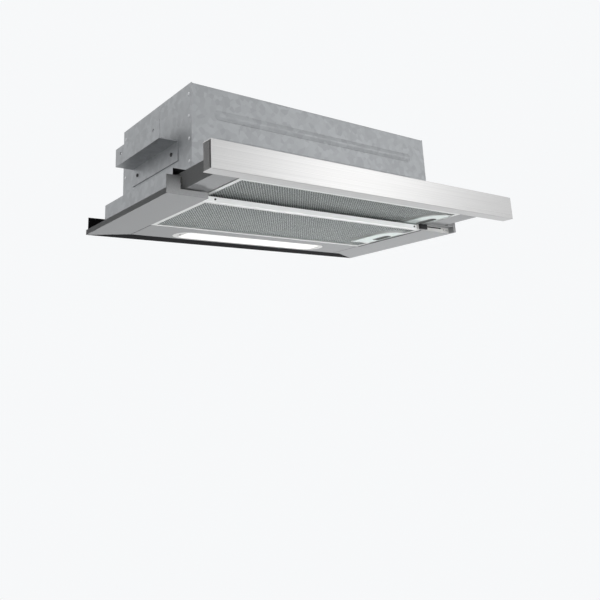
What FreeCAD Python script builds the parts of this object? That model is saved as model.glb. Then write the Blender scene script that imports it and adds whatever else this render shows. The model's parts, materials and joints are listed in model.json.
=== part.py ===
import FreeCAD, Part
import math
import os
import Sketcher

# Slim built-in range hood with a pull-out visor, for a 60 cm wall cabinet.
# Lengths are mm. X runs across the hood, Y from front to back, Z up from the underside.
# Pieces are drawn from the cabinet's front plane; their bodies shift it to the shared origin.

SIZES = {
    # overall
    "hood_width": 595, "panel_depth": 295.5, "body_height": 180, "body_inset": 17.5,
    "gauge": 1.0, "play": 0.4, "seam": 0.3,
    # bottom pan
    "rim_height": 8.4, "rim_return": 16, "margin_left": 64, "margin_right": 80.5,
    "corner_width": 21, "corner_height": 27, "corner_return": 45, "spacer_depth": 35, "spacer_mitre": 64,
    "spacer_height": 30, "spacer_end": 3, "tie_setback": 1,
    # front crossbar
    "crossbar_face": 11, "crossbar_depth": 4.6, "crossbar_height": 7.5, "crossbar_wall": 1.2,
    "crossbar_gap": 2, "crossbar_screw_left": 17.5, "crossbar_screw_right": 6.5,
    "small_screw_head": 1.5, "small_screw_radius": 1, "small_screw_length": 4,
    # controls
    "plate_face": 12, "plate_height": 9.3, "plate_width": 86.5, "plate_inset": 6.5,
    "plate_thickness": 1.2, "switch_depth": 4.4, "slot_height": 2.6, "slot_level": 7.2,
    "slot_inset": 9, "stem_width": 8, "knob_travel": 48, "knob_width": 18, "knob_height": 9,
    "knob_level": 5.1, "knob_reach": 5, "knob_fillet": 1.1, "knob_ridge": 0.5, "ridge_span": 10,
    "ridge_count": 4, "ridge_height": 4, "stem_depth": 1.8, "button_inset": 12.4, "button_level": 5,
    "button_radius": 2.2, "button_proud": 1.6, "button_travel": 1.2, "button_length": 4.6,
    "button_chamfer": 0.5,
    # grease filters
    "filter_rise": 0.3, "filter_height": 8.4, "filter_wall": 0.8, "filter_flange": 7,
    "filter_return": 5, "visor_filter_setback": 26.5, "visor_filter_depth": 132.5,
    "visor_filter_shift": 3.5, "visor_filter_drop": 1.2,
    "latch_width": 40, "latch_length": 92, "latch_height": 6.6, "latch_travel": 4,
    "latch_bolt": 3.4, "bolt_width": 18, "bolt_height": 2.6, "latch_margin": 5.5,
    "latch_tongue": 2.6, "latch_radius": 34, "finger_length": 40, "finger_width": 13, "finger_depth": 5,
    "finger_inset": 9.5,
    # lamp
    "lamp_panel_depth": 76, "lamp_length": 324, "lamp_width": 50, "lens_end": 6,
    "lamp_offset": 2.25, "lamp_setback": 30,
    "bezel_width": 3, "bezel_height": 2.4, "lens_height": 3.4, "lens_wall": 1.6,
    "tray_height": 20, "tray_margin": 3, "board_thickness": 1.6, "board_width": 16, "led_size": 5,
    "led_height": 1.2, "led_pitch": 24, "led_count": 12,
    # visor
    "visor_out": 102.8, "visor_gap": 12, "visor_floor": 11, "visor_height": 26,
    "visor_back": 60, "arm_stop": 7.7, "arm_flange": 12, "bar_overhang": 2.5,
    "bar_height": 38.3, "bar_depth": 20.1, "bar_bend": 0.8, "cap_thickness": 3, "cap_gap": 4.6,
    "cap_inset": 0.6, "cap_tongue": 6, "tongue_height": 2, "backing_lip": 9,
    "bar_screw_inset": 30, "bar_screw_pitch": 120,
    # ball slides
    "slide_level": 24, "slide_height": 20, "slide_gauge": 1, "slide_depth": 9, "slide_front": 20,
    "slide_end": 3, "runner_height": 11, "runner_depth": 7, "runner_front": 10, "runner_end": 2,
    "cage_share": 0.34, "cage_end": 18, "cage_gauge": 0.5, "ball_radius": 1.45, "ball_inset": 4.2,
    "balls_per_race": 3, "ball_play": 0.2,
    # casing
    "casing_inset": 31, "casing_floor": 44, "casing_front": 18,
    "casing_lip": 14, "casing_bend": 2.5, "channel_foot": 14,
    # duct collar and damper
    "outlet_offset": 11.25, "collar_radius": 60, "collar_wall": 2, "collar_height": 35,
    "collar_flange": 12, "flange_thickness": 2, "seat_level": 6, "seat_width": 4,
    "pin_radius": 1.5, "pin_level": 9, "running_clearance": 0.06, "flap_thickness": 1.2,
    "flap_gap": 1.6, "knuckle_radius": 3, "knuckle_length": 20, "boss_length": 6,
    # blower
    "blower_width": 100, "scroll_wall": 2, "scroll_room": 14, "scroll_growth": 8, "scroll_clear": 3,
    "inlet_overlap": 6, "inlet_lip": 5, "wheel_gap": 6, "blade_depth": 10, "wheel_width": 92,
    "ring_width": 3, "blade_count": 24, "blade_thickness": 1, "blade_camber": 2.6,
    "hub_radius": 9, "hub_length": 18, "shaft_radius": 4, "motor_step": 16,
    "motor_length": 62, "motor_gap": 16, "bell_length": 10, "bell_step": 0.75, "bell_nose": 0.5,
    "bracket_thickness": 2, "leg_radius": 3.5, "leg_inset": 2, "leg_count": 3,
    # electrics
    "capacitor_radius": 15, "capacitor_length": 50, "capacitor_chamfer": 2, "capacitor_inset": 60,
    "capacitor_setback": 60, "box_setback": 41, "box_length": 70, "box_height": 40, "box_depth": 30,
    "box_wall": 2, "driver_length": 110, "driver_width": 36, "driver_height": 22, "driver_inset": 36,
    "driver_setback": 36, "gland_radius": 8, "gland_bore": 4.5, "gland_flange": 12, "gland_inset": 60,
    "gland_setback": 40, "gland_head": 9,
    # cabinet fixings
    "bracket_length": 160, "bracket_level": 100, "bracket_height": 30,
    "bracket_gauge": 1.5, "fixing_radius": 2.5, "fixing_spacing": 120, "fixing_level": 18,
    # fasteners
    "screw_radius": 1.6, "screw_head": 3.2, "screw_head_height": 1.6, "screw_length": 8,
}

doc = FreeCAD.newDocument("range_hood")
sheet = doc.addObject("Spreadsheet::Sheet", "Dims")
for row, (alias, default) in enumerate(SIZES.items(), 1):
    sheet.set(f"A{row}", alias)
    sheet.set(f"B{row}", str(default))
    sheet.setAlias(f"B{row}", alias)
doc.recompute()


class Size:
    """A length that keeps its formula in sheet cells beside its present value."""

    def __init__(self, formula, value):
        self.formula = formula
        self.value = value

    def joined(self, sign, other, value):
        return Size(f"({self.formula} {sign} {other.formula})", value)

    def __add__(self, other):
        other = sized(other)
        return self.joined("+", other, self.value + other.value)

    def __sub__(self, other):
        other = sized(other)
        return self.joined("-", other, self.value - other.value)

    def __mul__(self, other):
        other = sized(other)
        return self.joined("*", other, self.value * other.value)

    def __truediv__(self, other):
        other = sized(other)
        return self.joined("/", other, self.value / other.value)

    def __neg__(self):
        return Size(f"(-1 * {self.formula})", -self.value)

    def __rmul__(self, other):
        return sized(other) * self

    def __radd__(self, other):
        return sized(other) + self

    def __rsub__(self, other):
        return sized(other) - self


def sized(number):
    """The number as a Size, with itself as its formula."""
    if isinstance(number, Size):
        return number
    return Size(f"({float(number)})", float(number))


class Sheet:
    """Each cell's alias as an attribute that gives its Size."""

    def __getattr__(self, alias):
        return Size(f"Dims.{alias}", float(sheet.get(alias)))


d = Sheet()
pieces = []
TOLERANCE = 0.01
FRONT_SHIFT = -1 * (d.panel_depth - d.visor_out - d.bar_depth) / 2


def polygon(*points):
    """A closed outline through the points."""
    return ("polygon", points)


def rectangle(u0, u1, v0, v1):
    """A closed rectangle between two corners."""
    return polygon((u0, v0), (u1, v0), (u1, v1), (u0, v1))


def circle(u, v, radius):
    """A circle about a point."""
    return ("circle", (u, v, radius))


def stadium(u, v, length, width):
    """A slot shape with round ends, its length along the first axis."""
    return ("stadium", (u, v, length, width))


def stadium_along_y(u, v, length, width):
    """A slot shape with round ends, its length along the second axis."""
    return ("upright", (u, v, length, width))


def latch_shape(left, right, near, far, radius):
    """A rectangle whose near left corner is one large arc."""
    return ("latch", (left, right, near, far, radius))


class Piece:
    """One sub-part: a body whose sketches and features are bound to the sheet."""

    def __init__(self, label):
        self.body = doc.addObject("PartDesign::Body", label)
        self.body.Label = label
        self.body.AllowCompound = True
        self.body.setExpression("Placement.Base.y", FRONT_SHIFT.formula)
        self.count = 0
        pieces.append(self.body)

    def name(self, word):
        self.count += 1
        return f"{self.body.Label}_{word}_{self.count}"

    def sketch(self, plane, level, loops):
        """A sketch on an origin plane, moved along that plane's axis to its level."""
        made = self.body.newObject("Sketcher::SketchObject", self.name("sketch"))
        support = next(f for f in self.body.Origin.OriginFeatures if f.Role == plane + "_Plane")
        made.AttachmentSupport = [(support, "")]
        made.MapMode = "FlatFace"
        level = -sized(level) if plane == "XZ" else sized(level)
        made.setExpression("AttachmentOffset.Base.z", level.formula)
        for kind, values in loops:
            DRAW[kind](made, values)
        return made

    def feature(self, kind, plane, level, length, loops, flip):
        made = self.body.newObject(f"PartDesign::{kind}", self.name(kind.lower()))
        made.Profile = self.sketch(plane, level, loops)
        made.setExpression("Length", sized(length).formula)
        made.Reversed = flip
        self.body.Tip = made
        return made

    def pad(self, plane, level, length, *loops):
        """Material from the level along the plane's positive axis."""
        return self.feature("Pad", plane, level, length, loops, plane == "XZ")

    def cut(self, plane, level, length, *loops):
        """A cut from the level along the plane's positive axis."""
        return self.feature("Pocket", plane, level, length, loops, plane != "XZ")

    def turn(self, plane, axis, *loops):
        """A full revolution of a profile about one of its sketch's own axes."""
        made = self.body.newObject("PartDesign::Revolution", self.name("turn"))
        profile = self.sketch(plane, 0, loops)
        made.Profile = profile
        made.ReferenceAxis = (profile, [axis])
        made.Angle = 360
        self.body.Tip = made
        return made

    def row(self, original, axis, length, count):
        """The feature again, evenly spaced along an origin axis."""
        made = self.body.newObject("PartDesign::LinearPattern", self.name("row"))
        made.Originals = [original]
        made.Direction = (self.origin(axis), [""])
        made.setExpression("Length", sized(length).formula)
        made.Occurrences = count
        self.body.Tip = made
        return made

    def ring(self, original, axis, count):
        """The feature again, evenly spaced about an origin axis."""
        made = self.body.newObject("PartDesign::PolarPattern", self.name("ring"))
        made.Originals = [original]
        made.Axis = (self.origin(axis), [""])
        made.Angle = 360
        made.Occurrences = count
        self.body.Tip = made
        return made

    def origin(self, axis):
        return next(f for f in self.body.Origin.OriginFeatures if f.Role == axis + "_Axis")

    def dress(self, kind, property_name, size, chosen):
        """A feature on the edges whose middle point passes the test."""
        doc.recompute()
        base = self.body.Tip
        names = [f"Edge{i}" for i, edge in enumerate(base.Shape.Edges, 1) if chosen(edge.CenterOfMass, edge)]
        made = self.body.newObject(f"PartDesign::{kind}", self.name(kind.lower()))
        made.Base = (base, names)
        made.setExpression(property_name, sized(size).formula)
        self.body.Tip = made
        return made

    def soften(self, radius, chosen):
        """A fillet on the chosen edges."""
        return self.dress("Fillet", "Radius", radius, chosen)

    def bevel(self, size, chosen):
        """A chamfer on the chosen edges."""
        return self.dress("Chamfer", "Size", size, chosen)

    def lift(self, **offsets):
        """Moves the whole body from the front plane's frame."""
        for axis, size in offsets.items():
            size = sized(size) + FRONT_SHIFT if axis == "y" else sized(size)
            self.body.setExpression(f"Placement.Base.{axis}", size.formula)


def vector(u, v):
    return FreeCAD.Vector(sized(u).value, sized(v).value, 0)


def bind(sketch, kind, first, point, size):
    """A dimension from the sketch's origin to a point, bound to the sheet."""
    size = sized(size)
    index = sketch.addConstraint(Sketcher.Constraint(kind, -1, 1, first, point, size.value))
    sketch.setExpression(f"Constraints[{index}]", size.formula)


def fix(sketch, geometry, point, u, v):
    bind(sketch, "DistanceX", geometry, point, u)
    bind(sketch, "DistanceY", geometry, point, v)


def bind_radius(sketch, geometry, size):
    index = sketch.addConstraint(Sketcher.Constraint("Radius", geometry, size.value))
    sketch.setExpression(f"Constraints[{index}]", size.formula)


def draw_polygon(sketch, points):
    corners = [vector(u, v) for u, v in points]
    lines = [sketch.addGeometry(Part.LineSegment(a, b), False)
             for a, b in zip(corners, corners[1:] + corners[:1])]
    for line, following in zip(lines, lines[1:] + lines[:1]):
        sketch.addConstraint(Sketcher.Constraint("Coincident", line, 2, following, 1))
    for line, (u, v) in zip(lines, points):
        fix(sketch, line, 1, u, v)


def draw_circle(sketch, values):
    u, v, radius = values
    made = sketch.addGeometry(Part.Circle(vector(u, v), FreeCAD.Vector(0, 0, 1), sized(radius).value), False)
    fix(sketch, made, 3, u, v)
    bind_radius(sketch, made, sized(radius))


def draw_stadium(sketch, values):
    u, v, length, width = (sized(value) for value in values)
    reach = (length - width) / 2
    radius = width / 2
    left, right = u - reach, u + reach
    axis = FreeCAD.Vector(0, 0, 1)
    half = math.pi / 2
    near = Part.ArcOfCircle(Part.Circle(vector(left, v), axis, radius.value), half, 3 * half)
    far = Part.ArcOfCircle(Part.Circle(vector(right, v), axis, radius.value), 3 * half, 5 * half)
    near = sketch.addGeometry(near, False)
    far = sketch.addGeometry(far, False)
    low = sketch.addGeometry(Part.LineSegment(vector(left, v - radius), vector(right, v - radius)), False)
    top = sketch.addGeometry(Part.LineSegment(vector(right, v + radius), vector(left, v + radius)), False)
    for first, last in ((near, low), (low, far), (far, top), (top, near)):
        sketch.addConstraint(Sketcher.Constraint("Coincident", first, 2, last, 1))
    for line, (start, end) in ((low, (left, right)), (top, (right, left))):
        level = v - radius if line == low else v + radius
        fix(sketch, line, 1, start, level)
        fix(sketch, line, 2, end, level)
    for arc, across in ((near, left), (far, right)):
        bind(sketch, "DistanceX", arc, 3, across)


def draw_upright(sketch, values):
    u, v, length, width = (sized(value) for value in values)
    radius = width / 2
    low, high = v - (length - width) / 2, v + (length - width) / 2
    axis = FreeCAD.Vector(0, 0, 1)
    upper = Part.ArcOfCircle(Part.Circle(vector(u, high), axis, radius.value), 0, math.pi)
    lower = Part.ArcOfCircle(Part.Circle(vector(u, low), axis, radius.value), math.pi, 2 * math.pi)
    upper = sketch.addGeometry(upper, False)
    lower = sketch.addGeometry(lower, False)
    left = sketch.addGeometry(Part.LineSegment(vector(u - radius, high), vector(u - radius, low)), False)
    right = sketch.addGeometry(Part.LineSegment(vector(u + radius, low), vector(u + radius, high)), False)
    for first, last in ((upper, left), (left, lower), (lower, right), (right, upper)):
        sketch.addConstraint(Sketcher.Constraint("Coincident", first, 2, last, 1))
    for line, across, (start, end) in ((left, u - radius, (high, low)), (right, u + radius, (low, high))):
        fix(sketch, line, 1, across, start)
        fix(sketch, line, 2, across, end)
    for arc, level in ((upper, high), (lower, low)):
        bind(sketch, "DistanceY", arc, 3, level)


def draw_latch(sketch, values):
    left, right, near, far, radius = (sized(value) for value in values)
    round_u, round_v = left + radius, near + radius
    whole = Part.Circle(vector(round_u, round_v), FreeCAD.Vector(0, 0, 1), radius.value)
    bend = sketch.addGeometry(Part.ArcOfCircle(whole, math.pi, 1.5 * math.pi), False)
    points = [(round_u, near), (right, near), (right, far), (left, far), (left, round_v)]
    lines = [sketch.addGeometry(Part.LineSegment(vector(*a), vector(*b)), False)
             for a, b in zip(points, points[1:])]
    chain = [bend] + lines
    for first, following in zip(chain, lines + [bend]):
        sketch.addConstraint(Sketcher.Constraint("Coincident", first, 2, following, 1))
    for line, (u, v) in zip(lines, points):
        fix(sketch, line, 1, u, v)
    fix(sketch, lines[-1], 2, *points[-1])
    bind(sketch, "DistanceX", bend, 3, round_u)


DRAW = {"polygon": draw_polygon, "circle": draw_circle, "stadium": draw_stadium, "upright": draw_upright,
        "latch": draw_latch}


def add_screws(made, plane, surface, outward, spots, head, radius, length):
    """Pan-head screws: heads outward of the surface, shanks behind it."""
    head_from = surface if outward > 0 else surface - d.screw_head_height
    shank_from = surface - length if outward > 0 else surface
    made.pad(plane, head_from, d.screw_head_height, *[circle(u, v, head) for u, v in spots])
    made.pad(plane, shank_from, length, *[circle(u, v, radius) for u, v in spots])


HALF = d.hood_width / 2
BAR_HALF = HALF + d.bar_overhang
BODY_HALF = HALF - d.body_inset
VISOR_HALF = BODY_HALF - d.visor_gap
CASING_HALF = BODY_HALF - d.casing_inset
OPENING_LEFT = HALF - d.margin_left
OPENING_RIGHT = HALF - d.margin_right
PAN_BACK = d.panel_depth - d.spacer_depth
LAMP_FRONT = PAN_BACK - d.lamp_panel_depth
CASING_BACK = PAN_BACK - d.tie_setback
CASING_MIDDLE = (d.casing_front + CASING_BACK) / 2
OUTLET_Y = CASING_MIDDLE + d.outlet_offset
PLATE_BACK = d.plate_face + d.plate_thickness
PLATE_TOP = d.seam + d.plate_height
PLATE_RIGHT = HALF - d.plate_inset
PLATE_LEFT = PLATE_RIGHT - d.plate_width
ARM_BACK = CASING_BACK - d.arm_stop - d.visor_out
BAR_SPOTS = [(side * (VISOR_HALF - inset), d.visor_floor + d.visor_height / 2)
             for side in (-1, 1) for inset in (d.bar_screw_inset, d.bar_screw_inset + d.bar_screw_pitch)]
BRACKET_SPOTS = [(CASING_MIDDLE + end * d.fixing_spacing / 2, d.bracket_level - d.bracket_height / 2)
                 for end in (-1, 1)]


def bottom_pan():
    """Folded pan with C-shaped side rims and front corners, open for filter and lamp panel."""
    pan = Piece("bottom_pan")
    rim, lip, g = d.rim_height, d.rim_return, d.gauge
    pan.pad("XZ", 0, d.panel_depth, polygon(
        (-HALF, 0), (HALF, 0), (HALF, rim), (HALF - lip, rim), (HALF - lip, rim - g), (HALF - g, rim - g),
        (HALF - g, g), (g - HALF, g), (g - HALF, rim - g), (lip - HALF, rim - g), (lip - HALF, rim),
        (-HALF, rim)))
    corner, height = HALF - d.corner_width, d.corner_height
    pan.pad("XZ", 0, g, polygon(
        (-HALF, 0), (-OPENING_LEFT, 0), (-OPENING_LEFT, rim), (-corner, rim), (-corner, height),
        (-HALF, height)))
    plate_end, plate_over = PLATE_RIGHT + d.seam, PLATE_TOP + d.seam
    pan.pad("XZ", 0, g, polygon(
        (plate_end, 0), (HALF, 0), (HALF, height), (corner, height), (corner, plate_over),
        (plate_end, plate_over)))
    pan.cut("XY", 0, rim, polygon(
        (-HALF, d.panel_depth), (HALF, d.panel_depth), (HALF - d.spacer_mitre, PAN_BACK),
        (d.spacer_mitre - HALF, PAN_BACK)))
    tie = PAN_BACK - d.tie_setback
    pan.pad("XZ", tie, g, rectangle(-OPENING_LEFT - rim, OPENING_RIGHT + rim, g, rim))
    pan.cut("XY", 0, g, rectangle(-OPENING_LEFT, OPENING_RIGHT, 0, d.panel_depth))
    pan.cut("XY", 0, rim, rectangle(OPENING_RIGHT, plate_end, 0, PLATE_BACK))
    pan.pad("XY", 0, plate_over, rectangle(plate_end, plate_end + g, 0, PLATE_BACK))
    pan.pad("XY", plate_over, d.visor_floor - d.play - plate_over, rectangle(
        OPENING_RIGHT + d.visor_filter_shift + d.gauge, plate_end + g, 0, PLATE_BACK))
    pan.pad("XY", rim, height - rim, rectangle(HALF - g, HALF, 0, d.corner_return))


def front_crossbar():
    """Aluminium channel between filter and visor, open to the back."""
    bar = Piece("front_crossbar")
    front, back = d.crossbar_face, d.crossbar_face + d.crossbar_depth
    wall, top = d.crossbar_wall, d.crossbar_height
    end = PLATE_LEFT - d.crossbar_gap
    bar.pad("YZ", -OPENING_LEFT, OPENING_LEFT + end, polygon(
        (front, 0), (back, 0), (back, wall), (front + wall, wall), (front + wall, top - wall),
        (back, top - wall), (back, top), (front, top)))
    spots = [(d.crossbar_screw_left - OPENING_LEFT, top / 2), (end - d.crossbar_screw_right, top / 2)]
    bar.cut("XZ", front, wall, *[circle(u, v, d.small_screw_radius) for u, v in spots])
    add_screws(Piece("crossbar_screws"), "XZ", front, -1, spots,
               d.small_screw_head, d.small_screw_radius, d.small_screw_length)


LAMP_X = (OPENING_RIGHT - OPENING_LEFT) / 2 + d.lamp_offset
LAMP_Y = PAN_BACK - d.lamp_setback


def lamp_outline(margin):
    """The lamp's round-ended outline, wider by the margin all round."""
    return stadium(LAMP_X, LAMP_Y, d.lamp_length + 2 * margin, d.lamp_width + 2 * margin)


def lens_outline(margin):
    """The lens's round-ended outline, shorter than the lamp at both ends."""
    return stadium(LAMP_X, LAMP_Y, d.lamp_length - 2 * d.lens_end + 2 * margin, d.lamp_width + 2 * margin)


def lamp_panel():
    """Sheet between filter and rear spacer, with a round-ended lamp opening."""
    panel = Piece("lamp_panel")
    left, right = d.seam - OPENING_LEFT, OPENING_RIGHT - d.seam
    front, back = LAMP_FRONT, PAN_BACK - d.seam
    panel.pad("XY", 0, d.gauge, rectangle(left, right, front, back), lamp_outline(sized(0)))
    panel.pad("XZ", front, d.gauge, rectangle(left, right, d.gauge, d.rim_height))
    bezel = Piece("lamp_bezel")
    bezel.pad("XY", 0, d.gauge, lamp_outline(-d.seam / 2), lens_outline(-d.bezel_width))
    bezel.pad("XY", d.gauge, d.bezel_height - d.gauge,
              lamp_outline(d.bezel_width), lens_outline(-d.bezel_width))
    lens = Piece("lamp_lens")
    slim = d.bezel_width + d.seam
    lens.pad("XY", 0, d.lens_height, lens_outline(-slim))
    lens.pad("XY", d.bezel_height, d.lens_height - d.bezel_height, lens_outline(sized(0)))
    lens.cut("XY", d.lens_wall, d.lens_height - d.lens_wall, lens_outline(-slim - d.lens_wall))


def lamp_inside():
    """Reflector tray over the lens, with a strip of light chips under its roof."""
    tray = Piece("lamp_tray")
    floor, g = d.bezel_height, d.gauge
    tray.pad("XY", floor, d.tray_height, lamp_outline(d.tray_margin))
    tray.cut("XY", floor, d.tray_height - g, lamp_outline(d.tray_margin - g))
    board = Piece("lamp_board")
    roof = floor + d.tray_height - g
    run = d.led_pitch * (d.led_count - 1)
    first = LAMP_X - run / 2
    board.pad("XY", roof - d.board_thickness, d.board_thickness, rectangle(
        first - d.board_width, first + run + d.board_width,
        LAMP_Y - d.board_width / 2, LAMP_Y + d.board_width / 2))
    chip = board.pad("XY", roof - d.board_thickness - d.led_height, d.led_height, rectangle(
        first - d.led_size / 2, first + d.led_size / 2, LAMP_Y - d.led_size / 2, LAMP_Y + d.led_size / 2))
    board.row(chip, "X", run, SIZES["led_count"])


def rear_spacer():
    """Folded strip that closes the gap to the wall, mitred at both ends."""
    strip = Piece("rear_spacer")
    g, back = d.gauge, d.panel_depth
    front = PAN_BACK + d.seam
    strip.pad("XY", 0, g, polygon(
        (d.seam - HALF, back), (HALF - d.seam, back),
        (HALF - d.spacer_mitre, front), (d.spacer_mitre - HALF, front)))
    strip.pad("XZ", back - g, g, rectangle(d.spacer_end - HALF, HALF - d.spacer_end, 0, d.spacer_height))
    strip.pad("XZ", front, g, rectangle(d.spacer_mitre - HALF, HALF - d.spacer_mitre, 0, d.rim_height))


def controls():
    """Control plate with its slot, the switches behind it, the sliding knob and the lamp button."""
    plate = Piece("control_plate")
    low, top = d.seam, PLATE_TOP
    slot_left, button_x = PLATE_LEFT + d.slot_inset, PLATE_RIGHT - d.button_inset
    slot_right = slot_left + d.stem_width + d.knob_travel + 2 * d.play
    slot_low, slot_high = d.slot_level - d.slot_height / 2, d.slot_level + d.slot_height / 2
    slot = rectangle(slot_left, slot_right, slot_low, slot_high)
    button_hole = circle(button_x, d.button_level, d.button_radius + d.play)
    plate.pad("XZ", d.plate_face, d.plate_thickness, rectangle(PLATE_LEFT, PLATE_RIGHT, low, top),
              slot, button_hole)
    speed = Piece("speed_switch")
    floor = d.gauge + d.seam
    speed.pad("XZ", PLATE_BACK, d.switch_depth, rectangle(
        OPENING_RIGHT + d.play, slot_right + d.play, floor, top))
    speed.cut("XZ", PLATE_BACK, d.stem_depth + d.play, slot)
    lamp = Piece("lamp_switch")
    lamp_right = HALF - d.rim_return - d.seam
    lamp.pad("XZ", PLATE_BACK, d.switch_depth, rectangle(slot_right + 2 * d.play, lamp_right, floor, top))
    room = d.button_length + d.button_travel - d.plate_thickness - d.button_proud + d.play
    lamp.cut("XZ", PLATE_BACK, room, button_hole)
    knob = Piece("speed_knob")
    middle = slot_left + d.play + d.stem_width / 2
    back = d.plate_face - d.play
    face = back - d.knob_reach
    knob.pad("XZ", face, d.knob_reach, rectangle(
        middle - d.knob_width / 2, middle + d.knob_width / 2,
        d.knob_level - d.knob_height / 2, d.knob_level + d.knob_height / 2))
    knob.soften(d.knob_fillet, lambda spot, edge: spot.y < (face + TOLERANCE).value)
    first = middle - d.ridge_span / 2
    ridge = knob.pad("XZ", face - d.knob_ridge, d.knob_reach, rectangle(
        first - d.knob_ridge / 2, first + d.knob_ridge / 2,
        d.knob_level - d.ridge_height / 2, d.knob_level + d.ridge_height / 2))
    knob.row(ridge, "X", d.ridge_span, SIZES["ridge_count"])
    knob.pad("XZ", back, d.stem_depth + d.play + d.plate_thickness, rectangle(
        middle - d.stem_width / 2, middle + d.stem_width / 2, slot_low + d.play, slot_high - d.play))
    button = Piece("lamp_button")
    proud = d.plate_face - d.button_proud
    button.pad("XZ", proud, d.button_length, circle(button_x, d.button_level, d.button_radius))
    button.bevel(d.button_chamfer, lambda spot, edge: spot.y < (proud + TOLERANCE).value)


def filter_cassette(prefix, shift, front, depth, floor, sheet_floor):
    """Grease filter: folded frame, mesh pack and a sliding latch that bolts over the floor's sheet."""
    frame = Piece(prefix + "_filter_frame")
    low, wall, flange = floor + d.filter_rise, d.filter_wall, d.filter_flange
    left, right = shift + d.play - OPENING_LEFT, shift + OPENING_RIGHT - d.play
    back = front + depth
    top = low + d.filter_height

    def inset(by):
        return rectangle(left + by, right - by, front + by, back - by)

    frame.pad("XY", low, d.filter_height, inset(0), inset(wall))
    frame.pad("XY", low, wall, inset(0), inset(flange))
    frame.pad("XY", top - wall, wall, inset(0), inset(d.filter_return))
    middle = front + depth / 2
    latch_right = right - d.latch_margin
    latch_left = latch_right - d.latch_width
    near, far = middle - d.latch_length / 2, middle + d.latch_length / 2
    reach = d.latch_tongue + d.play
    pocket_left = latch_left - d.latch_travel - d.play

    def bay(by):
        return latch_shape(pocket_left - by, right - wall + by, near - reach - by, far + reach + by,
                           d.latch_radius + by)

    frame.pad("XY", low, d.filter_height, bay(wall), bay(sized(0)))
    frame.pad("XY", low + d.latch_height + d.play, wall, bay(wall))
    frame.pad("XY", low, wall, bay(wall))
    frame.cut("XY", low, wall, latch_shape(
        pocket_left, right - wall, near - d.play, far + d.play, d.latch_radius))
    bolt_low = sheet_floor + d.gauge + d.play
    slack = d.bolt_width / 2 + d.play
    frame.cut("YZ", right - wall, wall, rectangle(
        middle - slack, middle + slack, bolt_low - d.play, bolt_low + d.bolt_height + d.play))

    mesh = Piece(prefix + "_filter_mesh")
    pack = wall + d.seam
    mesh.pad("XY", low + wall, d.filter_height - 2 * wall, inset(pack))
    mesh.cut("XY", low + wall, d.filter_height - 2 * wall, bay(pack))

    latch = Piece(prefix + "_filter_latch")
    latch.pad("XY", low, d.latch_height, latch_shape(latch_left, latch_right, near, far, d.latch_radius))
    lift = low + wall + d.play
    latch.pad("XY", lift, d.latch_height - wall - 2 * d.play, rectangle(
        latch_left + d.latch_radius, latch_right, near - d.latch_tongue, far + d.latch_tongue))
    latch.pad("XY", bolt_low, d.bolt_height, rectangle(
        latch_right, right + d.latch_bolt, middle - d.bolt_width / 2, middle + d.bolt_width / 2))
    grip = latch_right - d.finger_inset
    latch.cut("XY", low, d.finger_depth, stadium_along_y(grip, middle, d.finger_length, d.finger_width))


def visor():
    """Pull-out visor: folded floor and sides with two rear arms, and a top sheet."""
    frame = Piece("visor_frame")
    g, floor, top = d.gauge, d.visor_floor, d.visor_floor + d.visor_height
    front, back, arm = -d.visor_out, d.visor_back, ARM_BACK
    frame.pad("XZ", front, arm - front, polygon(
        (-VISOR_HALF, floor), (VISOR_HALF, floor), (VISOR_HALF, top), (VISOR_HALF - g, top),
        (VISOR_HALF - g, floor + g), (g - VISOR_HALF, floor + g), (g - VISOR_HALF, top), (-VISOR_HALF, top)))
    frame.pad("XZ", front, g, rectangle(-VISOR_HALF, VISOR_HALF, floor, top))
    inner = VISOR_HALF - d.arm_flange
    frame.cut("XY", floor, g, rectangle(-inner, inner, back, arm))
    filter_front = d.visor_filter_setback - d.visor_out
    shift = d.visor_filter_shift
    frame.cut("XY", floor, g, rectangle(shift - OPENING_LEFT, shift + OPENING_RIGHT,
                                        filter_front - d.play, filter_front + d.visor_filter_depth + d.play))
    frame.pad("XZ", back - g, g, rectangle(-inner, inner, floor, floor + d.filter_height))
    frame.cut("XZ", front, g, *[circle(u, v, d.screw_radius) for u, v in BAR_SPOTS])
    cover = Piece("visor_top")
    inside = VISOR_HALF - g - d.seam
    cover.pad("XZ", front + g + d.seam, back - front - g - d.seam, polygon(
        (-inside, top - d.arm_flange), (g - inside, top - d.arm_flange), (g - inside, top - g),
        (inside - g, top - g), (inside - g, top - d.arm_flange), (inside, top - d.arm_flange),
        (inside, top), (-inside, top)))


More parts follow.
